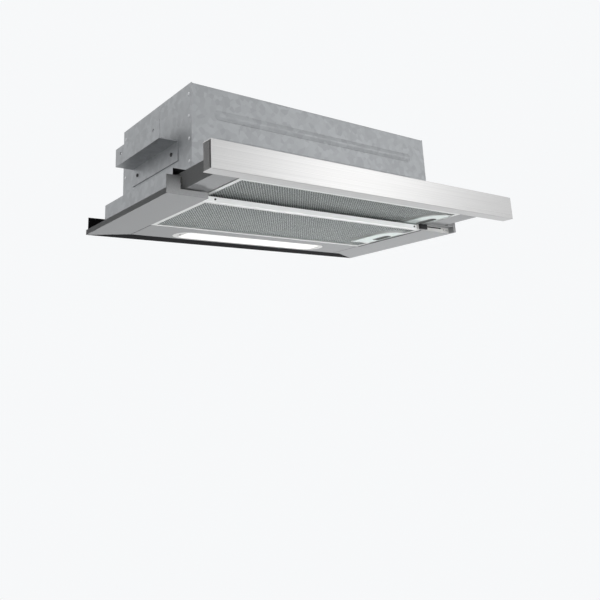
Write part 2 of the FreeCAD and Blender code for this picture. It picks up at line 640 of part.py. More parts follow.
def front_bar():
    """Front bar: folded stainless facing, backing channel and two end caps."""
    facing = Piece("bar_facing")
    back = -d.visor_out
    front = back - d.bar_depth
    g, top, cap = d.gauge, d.bar_height, d.cap_thickness
    facing.pad("YZ", -BAR_HALF, 2 * BAR_HALF, polygon(
        (front, 0), (back, 0), (back, g), (front + g, g), (front + g, top - g), (back, top - g),
        (back, top), (front, top)))
    facing.soften(d.bar_bend, lambda spot, edge: edge.BoundBox.XLength > BAR_HALF.value
                  and spot.y < (front + g / 2).value)
    backing = Piece("bar_backing")
    inside = front + g + d.cap_gap
    backing.pad("YZ", cap - BAR_HALF, 2 * (BAR_HALF - cap), polygon(
        (back, g), (back, top - g), (back - d.backing_lip, top - g), (back - d.backing_lip, top - 2 * g),
        (back - g, top - 2 * g), (back - g, 2 * g), (back - d.backing_lip, 2 * g), (back - d.backing_lip, g)))
    for side, label in ((-1, "bar_cap_left"), (1, "bar_cap_right")):
        end = Piece(label)
        start = d.cap_inset - BAR_HALF if side < 0 else BAR_HALF - cap
        end.pad("YZ", start, cap - d.cap_inset, rectangle(inside, back, g, top - g))
        start = cap - BAR_HALF if side < 0 else BAR_HALF - cap - d.cap_tongue
        tip = back - d.backing_lip - d.seam
        end.pad("YZ", start, d.cap_tongue, rectangle(inside, tip, g, g + d.tongue_height),
                rectangle(inside, tip, top - g - d.tongue_height, top - g))
    holes = [circle(u, v, d.screw_radius) for u, v in BAR_SPOTS]
    backing.cut("XZ", back - g, g, *holes)
    add_screws(Piece("bar_screws"), "XZ", back + g, 1, BAR_SPOTS,
               d.screw_head, d.screw_radius, d.screw_length)


def slides(side, word):
    """Ball slide: outer channel on the casing, runner on the visor and the ball cage between."""
    g, level = d.slide_gauge, d.slide_level

    def section(label, wall, depth, height, gauge, front, back, opens):
        piece = Piece(label + word)
        mouth = wall + opens * depth
        low, high = level - height / 2, level + height / 2
        web = wall + opens * gauge
        piece.pad("XZ", front, back - front, polygon(
            (side * wall, low), (side * mouth, low), (side * mouth, low + gauge), (side * web, low + gauge),
            (side * web, high - gauge), (side * mouth, high - gauge), (side * mouth, high),
            (side * wall, high)))
        return piece

    outer_wall, outer_end = BODY_HALF - d.gauge, CASING_BACK - d.slide_end
    section("slide_outer_", outer_wall, d.slide_depth, d.slide_height, g, d.slide_front, outer_end, -1)
    runner_end = ARM_BACK - d.runner_end
    section("slide_runner_", VISOR_HALF, d.runner_depth, d.runner_height, g, d.runner_front, runner_end, 1)
    gap = (d.slide_height / 2 - g + d.runner_height / 2) / 2
    cage_back, cage_length = runner_end - d.cage_end, (outer_end - d.slide_front) * d.cage_share
    cage = section("slide_cage_", outer_wall - g - d.play, d.slide_depth - g - 2 * d.play,
                   2 * gap + d.cage_gauge, d.cage_gauge, cage_back - cage_length, cage_back, -1)
    ball_x = side * (VISOR_HALF + d.ball_inset)
    count = SIZES["balls_per_race"]
    rows = [cage_back - cage_length * (index + 0.5) / count for index in range(count)]
    cage.cut("XY", level - gap - d.ball_radius, 2 * (gap + d.ball_radius),
             *[circle(ball_x, y, d.ball_radius + d.ball_play) for y in rows])
    balls = Piece("slide_balls_" + word)
    for z in (level - gap, level + gap):
        for y in rows:
            ball = balls.body.newObject("PartDesign::AdditiveSphere", balls.name("ball"))
            ball.setExpression("Radius", d.ball_radius.formula)
            for axis, size in (("x", ball_x), ("y", y), ("z", z)):
                ball.setExpression(f"Placement.Base.{axis}", size.formula)
            balls.body.Tip = ball


def casing():
    """Motor casing: a folded wrap of front, roof and back, two side sheets and the channels below."""
    g, floor, roof = d.gauge, d.casing_floor, d.body_height
    front, back, lip = d.casing_front, CASING_BACK, d.casing_lip
    wrap = Piece("casing_wrap")
    wrap.pad("YZ", g - CASING_HALF, 2 * (CASING_HALF - g), polygon(
        (front, floor), (front + lip, floor), (front + lip, floor + g), (front + g, floor + g),
        (front + g, roof - g), (back - g, roof - g), (back - g, g + d.seam), (back, g + d.seam),
        (back, roof), (front, roof)))
    wrap.soften(d.casing_bend, lambda spot, edge: edge.BoundBox.XLength > CASING_HALF.value
                and spot.z > (roof - g / 2).value)
    wrap.cut("XY", roof - g, g, circle(0, OUTLET_Y, d.collar_radius - d.collar_wall),
             circle(CASING_HALF - d.gland_inset, back - d.gland_setback, d.gland_radius + d.play))
    for side, word in ((-1, "left"), (1, "right")):
        sheet_side = Piece("casing_side_" + word)
        start = -CASING_HALF if side < 0 else CASING_HALF - g
        sheet_side.pad("YZ", start, g, rectangle(front, back, floor, roof))
        sheet_side.cut("YZ", start, g, *[circle(y, z, d.screw_radius) for y, z in BRACKET_SPOTS])
        channel = Piece("side_channel_" + word)
        foot = BODY_HALF - d.channel_foot
        inner = CASING_HALF - lip
        end = back - g
        channel.pad("XZ", front, end - front, polygon(
            (side * BODY_HALF, g), (side * foot, g), (side * foot, 2 * g), (side * (BODY_HALF - g), 2 * g),
            (side * (BODY_HALF - g), floor - g), (side * inner, floor - g), (side * inner, floor),
            (side * BODY_HALF, floor)))
        channel.pad("XZ", end - g, g, rectangle(side * CASING_HALF, side * BODY_HALF, g, floor))
        fixing_bracket(side, word)


def bracket_screws():
    """Screws that hold both fixing brackets to the casing's sides."""
    made = Piece("bracket_screws")
    surface = CASING_HALF + d.bracket_gauge
    for side in (-1, 1):
        add_screws(made, "YZ", side * surface, side, BRACKET_SPOTS,
                   d.screw_head, d.screw_radius, d.screw_length)


def fixing_bracket(side, word):
    """Z-shaped bracket from the casing's side to the cabinet's side wall, with two screw holes."""
    bracket = Piece("fixing_bracket_" + word)
    g, level, rise = d.bracket_gauge, d.bracket_level, d.bracket_height
    inner, outer = CASING_HALF, BODY_HALF
    bracket.pad("XZ", CASING_MIDDLE - d.bracket_length / 2, d.bracket_length, polygon(
        (side * inner, level - rise), (side * (inner + g), level - rise), (side * (inner + g), level),
        (side * outer, level), (side * outer, level + rise), (side * (outer - g), level + rise),
        (side * (outer - g), level + g), (side * inner, level + g)))
    start = -outer if side < 0 else outer - g
    fixings = [circle(y, level + d.fixing_level, d.fixing_radius) for y, z in BRACKET_SPOTS]
    bracket.cut("YZ", start, g, *fixings)
    holes = [circle(y, z, d.screw_radius) for y, z in BRACKET_SPOTS]
    bracket.cut("YZ", -inner - g if side < 0 else inner, g, *holes)


def duct_collar():
    """Duct collar with a seat ring inside, and a damper of two flaps on one pin."""
    collar = Piece("duct_collar")
    roof, radius, thick = d.body_height, d.collar_radius, d.flange_thickness
    bore = radius - d.collar_wall
    flange, seat, top = radius + d.collar_flange, roof + d.seat_level, roof + d.collar_height
    collar.turn("XZ", "V_Axis", polygon(
        (bore, roof), (flange, roof), (flange, roof + thick), (radius, roof + thick), (radius, top),
        (bore, top), (bore, seat), (bore - d.seat_width, seat), (bore - d.seat_width, seat - thick),
        (bore, seat - thick)))
    axis = roof + d.pin_level
    for start in (-bore, bore - d.boss_length):
        collar.pad("YZ", start, d.boss_length, rectangle(
            -d.knuckle_radius, d.knuckle_radius, seat - thick, axis + d.knuckle_radius))
    reach = bore - d.collar_wall
    collar.cut("YZ", -reach, 2 * reach, circle(0, axis, d.pin_radius))
    collar.lift(y=OUTLET_Y)
    pin = Piece("damper_pin")
    pin.pad("YZ", -reach, 2 * reach, circle(0, axis, d.pin_radius))
    pin.lift(y=OUTLET_Y)
    for side, word in ((-1, "front"), (1, "rear")):
        damper_flap(side, word, axis, bore)


def damper_flap(side, word, axis, bore):
    """Half-round flap on the pin, with two knuckles that sit between the other flap's."""
    flap = Piece("damper_flap_" + word)
    low = d.body_height + d.seat_level + d.play
    top = low + d.flap_thickness
    edge = d.knuckle_radius + d.flap_gap
    flap.pad("XY", low, d.flap_thickness, circle(0, 0, bore - d.flap_gap))
    flap.cut("XY", low, d.flap_thickness, rectangle(-bore, bore, -side * bore, side * edge))
    shift = d.knuckle_length / 2 + d.play
    root = side * (edge + d.flap_gap)
    for centre in (side * shift, side * -3 * shift):
        start = centre - d.knuckle_length / 2
        flap.pad("YZ", start, d.knuckle_length, circle(0, axis, d.knuckle_radius))
        flap.pad("YZ", start, d.knuckle_length, polygon((0, low), (root, low), (root, top), (0, top)))
    flap.cut("YZ", -bore, 2 * bore, circle(0, axis, d.pin_radius + d.running_clearance))
    flap.lift(y=OUTLET_Y)


SCROLL_RADIUS = (d.body_height - d.casing_floor) / 2 - d.scroll_room
WHEEL_RADIUS = SCROLL_RADIUS - d.wheel_gap
INLET_RADIUS = WHEEL_RADIUS - d.inlet_overlap
BLOWER_Y = OUTLET_Y - (SCROLL_RADIUS + 3 * d.scroll_growth) / 2
BLOWER_LEVEL = d.casing_floor + d.scroll_clear + d.scroll_wall + d.scroll_growth + SCROLL_RADIUS


def scroll_face(grow):
    """Scroll outline in YZ: three quarter arcs of growing radius, then straight up to the outlet."""
    step = d.scroll_growth.value
    centre = FreeCAD.Vector(0, BLOWER_Y.value, BLOWER_LEVEL.value)
    top = (d.body_height - d.gauge).value
    edges = []
    for quarter, shift in enumerate(((0, 0), (step, 0), (step, step))):
        radius = SCROLL_RADIUS.value + quarter * step + grow
        start = math.radians(90 * (quarter + 1)) if quarter else math.acos(-grow / radius)
        end = math.radians(90 * (quarter + 2))
        hinge = centre + FreeCAD.Vector(0, *shift)
        bend = [hinge + FreeCAD.Vector(0, radius * math.cos(turn), radius * math.sin(turn))
                for turn in (start, (start + end) / 2, end)]
        edges.append(Part.Arc(*bend).toShape())
        if quarter == 0:
            tongue = bend[0]
    lip = bend[-1]
    left, right = FreeCAD.Vector(0, tongue.y, top), FreeCAD.Vector(0, lip.y, top)
    for first, last in ((lip, right), (right, left), (left, tongue)):
        edges.append(Part.LineSegment(first, last).toShape())
    return Part.Face(Part.Wire(edges))


def blower_scroll():
    """Spiral housing with an inlet in each cheek and its outlet under the duct collar."""
    wall, half = d.scroll_wall.value, d.blower_width.value / 2
    along = FreeCAD.Vector(1, 0, 0)
    outer = scroll_face(wall).extrude(along * 2 * (half + wall))
    inner = scroll_face(0).extrude(along * 2 * half)
    outer.translate(along * -(half + wall))
    inner.translate(along * -half)
    centre = FreeCAD.Vector(-half - 2 * wall, BLOWER_Y.value, BLOWER_LEVEL.value)
    inlet = Part.makeCylinder(INLET_RADIUS.value, 2 * half + 4 * wall, centre, along)
    scroll = doc.addObject("Part::Feature", "blower_scroll")
    scroll.Label = "blower_scroll"
    scroll.Shape = outer.cut(inner).cut(inlet)
    scroll.setExpression("Placement.Base.y", FRONT_SHIFT.formula)
    pieces.append(scroll)


def at_blower(piece):
    piece.lift(y=BLOWER_Y, z=BLOWER_LEVEL)


def blower():
    """Inlet rings, bladed double-inlet wheel, shaft, motor and its three-legged bracket."""
    half = d.blower_width / 2 + d.scroll_wall
    throat, mouth = INLET_RADIUS - d.scroll_wall, INLET_RADIUS + d.inlet_lip
    for side, word in ((-1, "left"), (1, "right")):
        ring = Piece("inlet_ring_" + word)
        near, step, far = side * half, side * (half + d.scroll_wall), side * (half + d.inlet_lip)
        ring.turn("XZ", "H_Axis", polygon(
            (near, throat), (near, mouth), (step, mouth), (step, INLET_RADIUS),
            (far, INLET_RADIUS), (far, throat)))
        at_blower(ring)
    wheel = Piece("blower_wheel")
    hub, end, disc = d.hub_length / 2, d.wheel_width / 2, d.ring_width / 2
    wheel.turn("XZ", "H_Axis", polygon(
        (-hub, d.shaft_radius), (hub, d.shaft_radius), (hub, d.hub_radius), (disc, d.hub_radius),
        (disc, WHEEL_RADIUS), (-disc, WHEEL_RADIUS), (-disc, d.hub_radius), (-hub, d.hub_radius)))
    thick, camber = d.blade_thickness, d.blade_camber
    low, high = WHEEL_RADIUS - d.blade_depth, WHEEL_RADIUS - thick
    for start in (-end, end - d.ring_width):
        wheel.pad("YZ", start, d.ring_width, circle(0, 0, WHEEL_RADIUS), circle(0, 0, low))
    middle = (low + high) / 2
    blade = wheel.pad("YZ", -end, d.wheel_width, polygon(
        (low, 0), (middle, camber), (high, 0), (high, thick), (middle, camber + thick), (low, thick)))
    wheel.ring(blade, "X", SIZES["blade_count"])
    at_blower(wheel)
    right = -half - d.motor_gap
    left = right - d.motor_length
    shaft = Piece("blower_shaft")
    shaft.pad("YZ", left + d.motor_gap, hub - left - d.motor_gap, circle(0, 0, d.shaft_radius))
    at_blower(shaft)
    motor = Piece("motor")
    radius, bore = SCROLL_RADIUS - d.motor_step, d.shaft_radius + d.running_clearance
    shoulder, nose = radius * d.bell_step, radius * d.bell_nose
    flank_left, flank_right = left + d.bell_length, right - d.bell_length
    motor.turn("XZ", "H_Axis", polygon(
        (left, bore), (right, bore), (right, nose), (flank_right, shoulder), (flank_right, radius),
        (flank_left, radius), (flank_left, shoulder), (left, nose)))
    at_blower(motor)
    bracket = Piece("motor_bracket")
    leg_circle = SCROLL_RADIUS - d.leg_inset
    bracket.pad("YZ", flank_right, d.bracket_thickness,
                circle(0, 0, leg_circle + 2 * d.leg_radius), circle(0, 0, shoulder))
    leg = bracket.pad("YZ", flank_right, d.bell_length + d.motor_gap, circle(0, leg_circle, d.leg_radius))
    bracket.ring(leg, "X", SIZES["leg_count"])
    at_blower(bracket)


def electrics():
    """Run capacitor, terminal box, lamp driver and cable gland."""
    roof, g = d.body_height - d.gauge, d.gauge
    capacitor = Piece("capacitor")
    low = roof - d.capacitor_length
    capacitor.pad("XY", low, d.capacitor_length, circle(
        CASING_HALF - d.capacitor_inset, d.casing_front + d.capacitor_setback, d.capacitor_radius))
    capacitor.bevel(d.capacitor_chamfer, lambda spot, edge: spot.z < (low + TOLERANCE).value)
    box = Piece("terminal_box")
    side, wall = CASING_HALF - g, d.box_wall
    far = CASING_BACK - d.box_setback
    near = far - d.box_length
    high = roof - wall
    low = high - d.box_height
    mouth = side - d.box_depth
    box.pad("YZ", mouth, d.box_depth, rectangle(near, far, low, high))
    box.cut("YZ", mouth, d.box_depth - wall, rectangle(near + wall, far - wall, low + wall, high - wall))
    lid = Piece("terminal_lid")
    lid.pad("YZ", mouth - wall, wall, rectangle(near, far, low, high))
    driver = Piece("lamp_driver")
    left, back = d.driver_inset - CASING_HALF, CASING_BACK - d.driver_setback
    driver.pad("XY", roof - d.driver_height, d.driver_height, rectangle(
        left, left + d.driver_length, back - d.driver_width, back))
    gland = Piece("cable_gland")
    bore = circle(0, 0, d.gland_bore)
    gland.pad("XY", d.body_height, d.gland_head, circle(0, 0, d.gland_flange), bore)
    gland.pad("XY", roof, g, circle(0, 0, d.gland_radius), bore)
    gland.pad("XY", roof - d.gland_head, d.gland_head, circle(0, 0, d.gland_flange), bore)
    gland.lift(x=CASING_HALF - d.gland_inset, y=CASING_BACK - d.gland_setback)


def build():
    bottom_pan()
    front_crossbar()
    lamp_panel()
    lamp_inside()
    rear_spacer()
    controls()
    fixed_front = d.crossbar_face + d.crossbar_depth + d.play
    filter_cassette("fixed", sized(0), fixed_front, LAMP_FRONT - d.play - fixed_front, sized(0), sized(0))
    filter_cassette("visor", d.visor_filter_shift, d.visor_filter_setback - d.visor_out,
                    d.visor_filter_depth, d.visor_floor - d.visor_filter_drop, d.visor_floor)
    visor()
    front_bar()
    for side, word in ((-1, "left"), (1, "right")):
        slides(side, word)
    casing()
    bracket_screws()
    duct_collar()
    blower_scroll()
    blower()
    electrics()


def check_and_write():
    """Stops on any failed object, then writes one STEP file per sub-part."""
    doc.recompute()
    for item in doc.Objects:
        if "Invalid" in item.State or "Error" in item.State:
            raise RuntimeError(f"{item.Label} failed: {item.State}")
    for piece in pieces:
        if piece.Shape.isNull() or not piece.Shape.isValid() or not piece.Shape.Solids:
            raise RuntimeError(f"{piece.Label} has no valid solid")
    os.makedirs("parts", exist_ok=True)
    for piece in pieces:
        piece.Shape.exportStep(f"parts/{piece.Label}.step")


build()
check_and_write()
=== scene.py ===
import json

import bmesh
import bpy
import numpy as np
from mathutils import Matrix, Vector


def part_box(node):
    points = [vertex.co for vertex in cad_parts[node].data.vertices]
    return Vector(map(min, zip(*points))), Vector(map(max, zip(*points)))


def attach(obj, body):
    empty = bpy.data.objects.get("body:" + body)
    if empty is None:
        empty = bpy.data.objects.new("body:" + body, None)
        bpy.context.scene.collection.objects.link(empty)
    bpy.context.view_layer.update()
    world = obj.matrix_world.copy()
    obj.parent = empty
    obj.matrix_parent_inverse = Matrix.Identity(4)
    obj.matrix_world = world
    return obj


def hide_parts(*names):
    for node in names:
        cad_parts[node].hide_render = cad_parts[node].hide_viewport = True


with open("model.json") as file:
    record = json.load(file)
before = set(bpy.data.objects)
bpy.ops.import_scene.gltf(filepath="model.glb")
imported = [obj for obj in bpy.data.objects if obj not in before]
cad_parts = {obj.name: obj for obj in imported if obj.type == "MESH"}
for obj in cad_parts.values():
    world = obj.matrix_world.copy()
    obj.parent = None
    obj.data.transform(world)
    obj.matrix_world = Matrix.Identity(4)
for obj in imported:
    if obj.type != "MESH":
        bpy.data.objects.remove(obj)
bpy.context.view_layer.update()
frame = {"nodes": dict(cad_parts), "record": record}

bl_info = {
    "name": "Built-in range hood",
    "version": (1, 0, 0),
    "blender": (4, 5, 0),
    "location": "View3D > Sidebar > Range hood",
    "description": "Filter meshes, screws, marks, finishes and stage for a pull-out range hood",
    "category": "Object",
}

MM = 0.001
# Corners closer than this are one corner.
MERGE = 1e-7

# Thickness of the collar's flange, under the heads of its screws.
COLLAR_FLANGE = 2 * MM
# The lamp's screw: its distance from the lens's left end, and how deep its head is sunk.
LENS_SCREW = 5.5 * MM
SUNK_HEAD = 0.9 * MM
# Length at each end of the lens that the light does not reach, the lens's own paleness, and its light.
UNLIT_END = 13 * MM
LENS_PALENESS = 0.5
LENS_LIGHT = 0.5
# Size of a crystal in the zinc coating.
CRYSTAL = 9 * MM
# Fineness of the noise in a finish, and the part of it over which the tone changes.
NOISE_DETAIL = 4.0
TONE_ENDS = (0.3, 0.7)
# Points of the crimped sheet in one crimp.
CRIMP_STEPS = 4
# Sides of the round outlines of finger cups, of screws and rivets, of casing beads, and of trim and strokes.
CUP_SIDES, HEAD_SIDES, BEAD_SIDES, TRIM_SIDES = 48, 40, 32, 16
# Rings in the curved part of a cup's bowl, a screw's dome, a rivet, a casing bead and a trim bead.
BOWL_RINGS, DOME_RINGS, RIVET_RINGS, BEAD_RINGS, TRIM_RINGS = 9, 9, 6, 9, 7
# A pan head: the dome's edge and the shank as shares of the radius, the dome's fall and the head's side
# as shares of the height.
DOME_EDGE, SHANK_SHARE = 0.96, 0.55
DOME_FALL, HEAD_SIDE = 0.45, 0.42
# A screw's cross slot: its reach as a share of the radius, and its depth as a share of the height.
RECESS_REACH, RECESS_DEPTH = 0.62, 0.5
# A rivet's dimple: its width and reach as shares of the radius, and its depth as a share of the height.
DIMPLE_WIDTH, DIMPLE_REACH, DIMPLE_DEPTH = 0.5, 0.4, 0.5
# A finger cup's lip as a share of its radius, and its bowl's depth as a share of the cup's.
CUP_LIP, BOWL_DEPTH = 0.94, 0.6
# Depth by which rivets and pressed beads stand in their sheet, and trim as a share of its height.
ROOT = 0.2 * MM
TRIM_ROOT = 0.1
# Rivets in one upright row.
RIVET_ROWS = 4
# Heights of the casing's beads, as shares of the casing's height.
BEAD_ROWS = (0.36, 0.68)
# Thickness of the printed strokes, and half the straight length of each.
INK = 0.12 * MM
STROKES = (0.6 * MM, 1.2 * MM, 1.8 * MM)
# Places of the knob's ribs as shares of its width, and half their length as a share of its height.
RIB_PLACES = (0.2, 0.4, 0.6, 0.8)
RIB_REACH = 0.42

# Local axes of a form, as directions of the hood: along it, across it and out of its seat.
ALONG_Y = ((0, 1, 0), (1, 0, 0), (0, 0, 1))
ALONG_Y_DOWN = ((0, 1, 0), (1, 0, 0), (0, 0, -1))
UPRIGHT_FRONT = ((0, 0, 1), (1, 0, 0), (0, -1, 0))
FACING_FRONT = ((1, 0, 0), (0, 0, 1), (0, -1, 0))
FACING_BACK = ((1, 0, 0), (0, 0, 1), (0, 1, 0))
FACING_LEFT = ((0, 1, 0), (0, 0, 1), (-1, 0, 0))
FACING_RIGHT = ((0, 1, 0), (0, 0, 1), (1, 0, 0))
FACING_UP = ((1, 0, 0), (0, 1, 0), (0, 0, 1))
FACING_DOWN = ((1, 0, 0), (0, 1, 0), (0, 0, -1))

# The camera: its place and directions, and its focal length and middle in pixels of the picture.
CAMERA_PLACE = (-0.68167, -0.85628, -0.24010)
CAMERA_RIGHT = (0.7931, -0.6072, -0.0476)
CAMERA_FORWARD = (0.5977, 0.7609, 0.2524)
FOCAL_PIXELS = 657.144
CENTRE_PIXEL = (297.14, 201.18)
PICTURE = 600
SENSOR = 36
FARTHEST = 100

BACKDROP = (0.93, 0.94, 0.95, 1)
# Stretch of the world's left to right over which the even light grows to its full level.
LIGHT_FROM, LIGHT_TO = -0.8, 0.2
# Lamps: place, target, side of the square, angle of the beam, and whether bright metal mirrors them.
LAMPS = {
    "front_low": ((-0.2, -2.0, -0.26), (0.0, -0.08, 0.0), 0.4, 180, False),
    "below_right": ((0.9, -0.4, -1.0), (0.0, 0.0, 0.0), 1.0, 180, False),
    "rear_low": ((2.42, 3.36, -1.65), (0.0, -0.1, 0.01), 0.62, 40, False),
    "bar_softbox": ((1.68, -2.08, 0.765), (0.0, -0.2, 0.02), 0.85, 180, True),
    "overhead": ((-0.6, 0.4, 1.7), (0.0, 0.0, 0.1), 2.2, 180, True),
}


def length(name, description, millimetres):
    """A length property, given in millimetres and kept in metres."""
    return bpy.props.FloatProperty(name=name, description=description, default=millimetres * MM, precision=5,
                                   unit="LENGTH", subtype="DISTANCE")


def shade(name, description, colour):
    """A linear colour property."""
    return bpy.props.FloatVectorProperty(
        name=name, description=description, default=colour, size=3, min=0, max=1, subtype="COLOR")


def level(name, description, value):
    """A plain number property."""
    return bpy.props.FloatProperty(name=name, description=description, default=value, min=0)


def power(name, description, watts):
    """A property for a lamp's power in watts."""
    return bpy.props.FloatProperty(name=name, description=description, default=watts, min=0, unit="POWER")


class FilterSizes(bpy.types.PropertyGroup):
    """Sizes of the expanded mesh in both grease filters."""
    wave: length("Diamond width", "Width of one diamond along the hood's width", 4.4)
    pitch: length("Strand pitch", "Distance between neighbouring strands", 2.9)
    width: length("Strand width", "Width of a strand of the sheet", 0.7)
    thickness: length("Strand thickness", "Thickness of the expanded sheet", 0.16)
    inset: length("Sheet inset", "Height of the lowest sheet above the pack's underside", 0.7)
    inner_gap: length("Inner gap", "Distance from the lowest sheet to the crimped sheet above it", 2.4)
    inner_sheet: length("Inner sheet", "Thickness of the crimped sheet", 0.3)
    crimp: length("Crimp pitch", "Pitch of the crimps in the inner sheet", 7.0)
    crimp_rise: length("Crimp rise", "Height of the crimps in the inner sheet", 0.8)
    bay_gap: length("Bay gap", "Room that the mesh leaves round the latch's bay", 1.5)
    bay_travel: length("Bay travel", "Room that the bay gives the latch to slide", 4.0)
    bay_radius: length("Bay radius", "Radius of the bay's round corner", 35.1)


class FittingSizes(bpy.types.PropertyGroup):
    """Sizes of the screws, rivets, finger cups, beads, marks and trim."""
    head_height: length("Head height", "Height of a pan head", 1.6)
    small_head: length("Small head", "Radius of the crossbar's and lamp's screw heads", 1.5)
    large_head: length("Large head", "Radius of the brackets' and collar's screw heads", 3.2)
    recess: length("Recess width", "Half width of a cross recess in a large head", 0.55)
    shank_length: length("Shank", "Length of a screw's shank", 4.0)
    rivet_radius: length("Rivet radius", "Radius of the casing's blind rivets", 2.6)
    rivet_height: length("Rivet height", "Height of the casing's blind rivets", 1.0)
    rivet_inset: length("Rivet inset", "Distance of the rivets from the casing's edges", 8.0)
    collar_ring: length("Collar screws", "Radius of the circle of the collar's screws", 66.0)
    cup_length: length("Cup length", "Length of a latch's finger cup", 39.8)
    cup_width: length("Cup width", "Width of a latch's finger cup", 12.8)
    cup_depth: length("Cup depth", "Depth of a latch's finger cup", 4.9)
    cup_rim: length("Cup rim", "Thickness of the rim that a cup lays on its latch", 0.3)
    cup_flange: bpy.props.FloatProperty(
        name="Cup flange", description="Radius of a cup's rim as a share of the cup's radius",
        default=1.22, min=1)
    cup_inset: length("Cup inset", "Distance of the cup's middle from the latch's right side", 9.5)
    bolt_reach: length("Bolt reach", "Length of the latch's bolt past the latch's right side", 8.9)
    bead_length: length("Bead length", "Length of a pressed bead in the casing", 420.0)
    bead_width: length("Bead width", "Width of a pressed bead", 15.0)
    bead_height: length("Bead height", "Height of a pressed bead", 1.6)
    mark_width: length("Mark width", "Width of a printed stroke on the control plate", 0.8)
    rib_width: length("Rib width", "Width of a rib on the speed knob", 2.2)
    rib_height: length("Rib height", "Height of a rib on the speed knob", 0.5)
    # The dark strip beside the fixed filter is painted shadow of the gap between the filter's frame and the
    # pan.
    gap_shadow_width: length("Seal width", "Width of the seal beside the fixed filter", 4.6)
    seam_width: length("Seam width", "Width of the filled seams beside the lamp panel", 1.8)
    seal_height: length("Seal height", "Height of the seal beside the fixed filter", 0.3)


class FinishColours(bpy.types.PropertyGroup):
    """Colours of the hood's main finishes, in linear light."""
    stainless: shade("Stainless", "Brushed front bar", (0.56, 0.555, 0.55))
    silver: shade("Silver coating", "Pan, lamp panel and visor", (0.355, 0.36, 0.365))
    bright: shade("Bright aluminium", "Filter frames", (0.70, 0.71, 0.70))
    # The crossbar is pale aluminium, and its colour is set above the frames' aluminium to paint in light that
    # its front face lacks.
    crossbar: shade("Crossbar", "Pale bar between the filters", (0.90, 0.91, 0.905))
    mesh: shade("Mesh aluminium", "Expanded filter mesh", (0.72, 0.765, 0.755))
    # The inner sheet's near black is painted shade: it stands in for the shade seen through the mesh's holes,
    # where a crimped aluminium sheet lies.
    inner: shade("Inner mesh", "Crimped sheet inside the filters", (0.05, 0.054, 0.053))
    latch: shade("Latch plastic", "Filter latches", (0.66, 0.72, 0.70))
    seam: shade("Seam", "Filled seams beside the lamp panel", (0.13, 0.132, 0.135))
    # The finger cup's dark grey is painted shade: it stands in for the shade inside the recess of the pale
    # latch.
    cup: shade("Finger cup", "Recess in a filter's latch", (0.21, 0.217, 0.213))
    zinc: shade("Zinc coating", "Casing sheets, channels and brackets", (0.37, 0.38, 0.39))
    glow: shade("Lamp light", "Light of the lamp's lens", (1.0, 0.995, 0.98))


class StageSizes(bpy.types.PropertyGroup):
    """Sizes and levels of the studio round the hood."""
    floor_drop: length("Floor drop", "Distance from the hood's underside to the floor", 2400)
    floor_size: length("Floor size", "Side of the floor's square", 24000)
    fade_from: length("Fade start", "Distance at which the floor starts to turn into the backdrop", 900)
    fade_to: length("Fade end", "Distance from which the floor looks like the backdrop", 2600)
    paleness: level("Floor paleness", "Share of the backdrop's tone in the floor under the hood", 0.6)
    ambient: level("Ambient", "Level of the even studio light", 0.27)
    left_shade: level("Left shade", "Share of the even light that comes from the hood's left", 0.25)
    front_low: power("Light in front", "Low light in front of the hood", 20.0)
    below_right: power("Light from below", "Light below the hood on the right", 6.5)
    rear_low: power("Light from the rear", "Low light behind the hood", 13.0)
    bar_softbox: power("Light on the bar", "Light that the front bar mirrors", 3.2)
    overhead: power("Light from above", "Light above the hood", 12.0)


def even(waves):
    """A grain that is equally fine along X, Y and Z, in waves per metre."""
    return (waves, waves, waves)


BRUSHED = (3, 1400, 1400)
DRAWN = (12, 700, 700)
ROLLED = (20, 300, 300)
DRAWN_UP = (300, 300, 12)


def set_inputs(tree, made, inputs):
    """Link or set the named inputs of a shader node."""
    for socket, value in inputs.items():
        if isinstance(value, bpy.types.NodeSocket):
            tree.links.new(value, made.inputs[socket])
        else:
            made.inputs[socket].default_value = value
    return made


def shader_node(tree, kind, inputs=None, **settings):
    """A new shader node with its settings and inputs."""
    made = tree.nodes.new("ShaderNode" + kind)
    for name, value in settings.items():
        setattr(made, name, value)
    return set_inputs(tree, made, inputs or {})


def two_tones(tree, factor, colour, swing, ends=(0.0, 1.0)):
    """A ramp along the factor, from the colour less the swing to the colour plus the swing."""
    ramp = shader_node(tree, "ValToRGB", {"Fac": factor})
    for element, end, share in zip(ramp.color_ramp.elements, ends, (1 - swing, 1 + swing)):
        element.position = end
        element.color = (*[min(1.0, value * share) for value in colour], 1)
    return ramp.outputs["Color"]


def finish(name, colour, roughness, metallic=0.0, grain=even(60),
           swing=0.12, rough_swing=0.08, bump=0.02, specular=0.5):
    """A procedural finish: noise on object coordinates, as fine as the grain along each axis, varies
    the colour by the swing, the roughness by its own swing and the height by the bump."""
    made = bpy.data.materials.new(name)
    made.use_nodes = True
    tree = made.node_tree
    place = shader_node(tree, "TexCoord")
    scaled = shader_node(tree, "Mapping", {"Vector": place.outputs["Object"], "Scale": grain})
    noise = shader_node(tree, "TexNoise", {"Vector": scaled.outputs["Vector"], "Scale": 1.0,
                                           "Detail": NOISE_DETAIL})
    amount = noise.outputs["Fac"]
    gloss = shader_node(tree, "MapRange", {
        "Value": amount, "To Min": roughness - rough_swing, "To Max": roughness + rough_swing})
    height = shader_node(tree, "Bump", {"Height": amount, "Strength": bump, "Distance": MM})
    set_inputs(tree, tree.nodes["Principled BSDF"], {
        "Base Color": two_tones(tree, amount, colour, swing, TONE_ENDS),
        "Roughness": gloss.outputs["Result"],
        "Normal": height.outputs["Normal"],
        "Metallic": metallic,
        "Specular IOR Level": specular,
    })
    return made


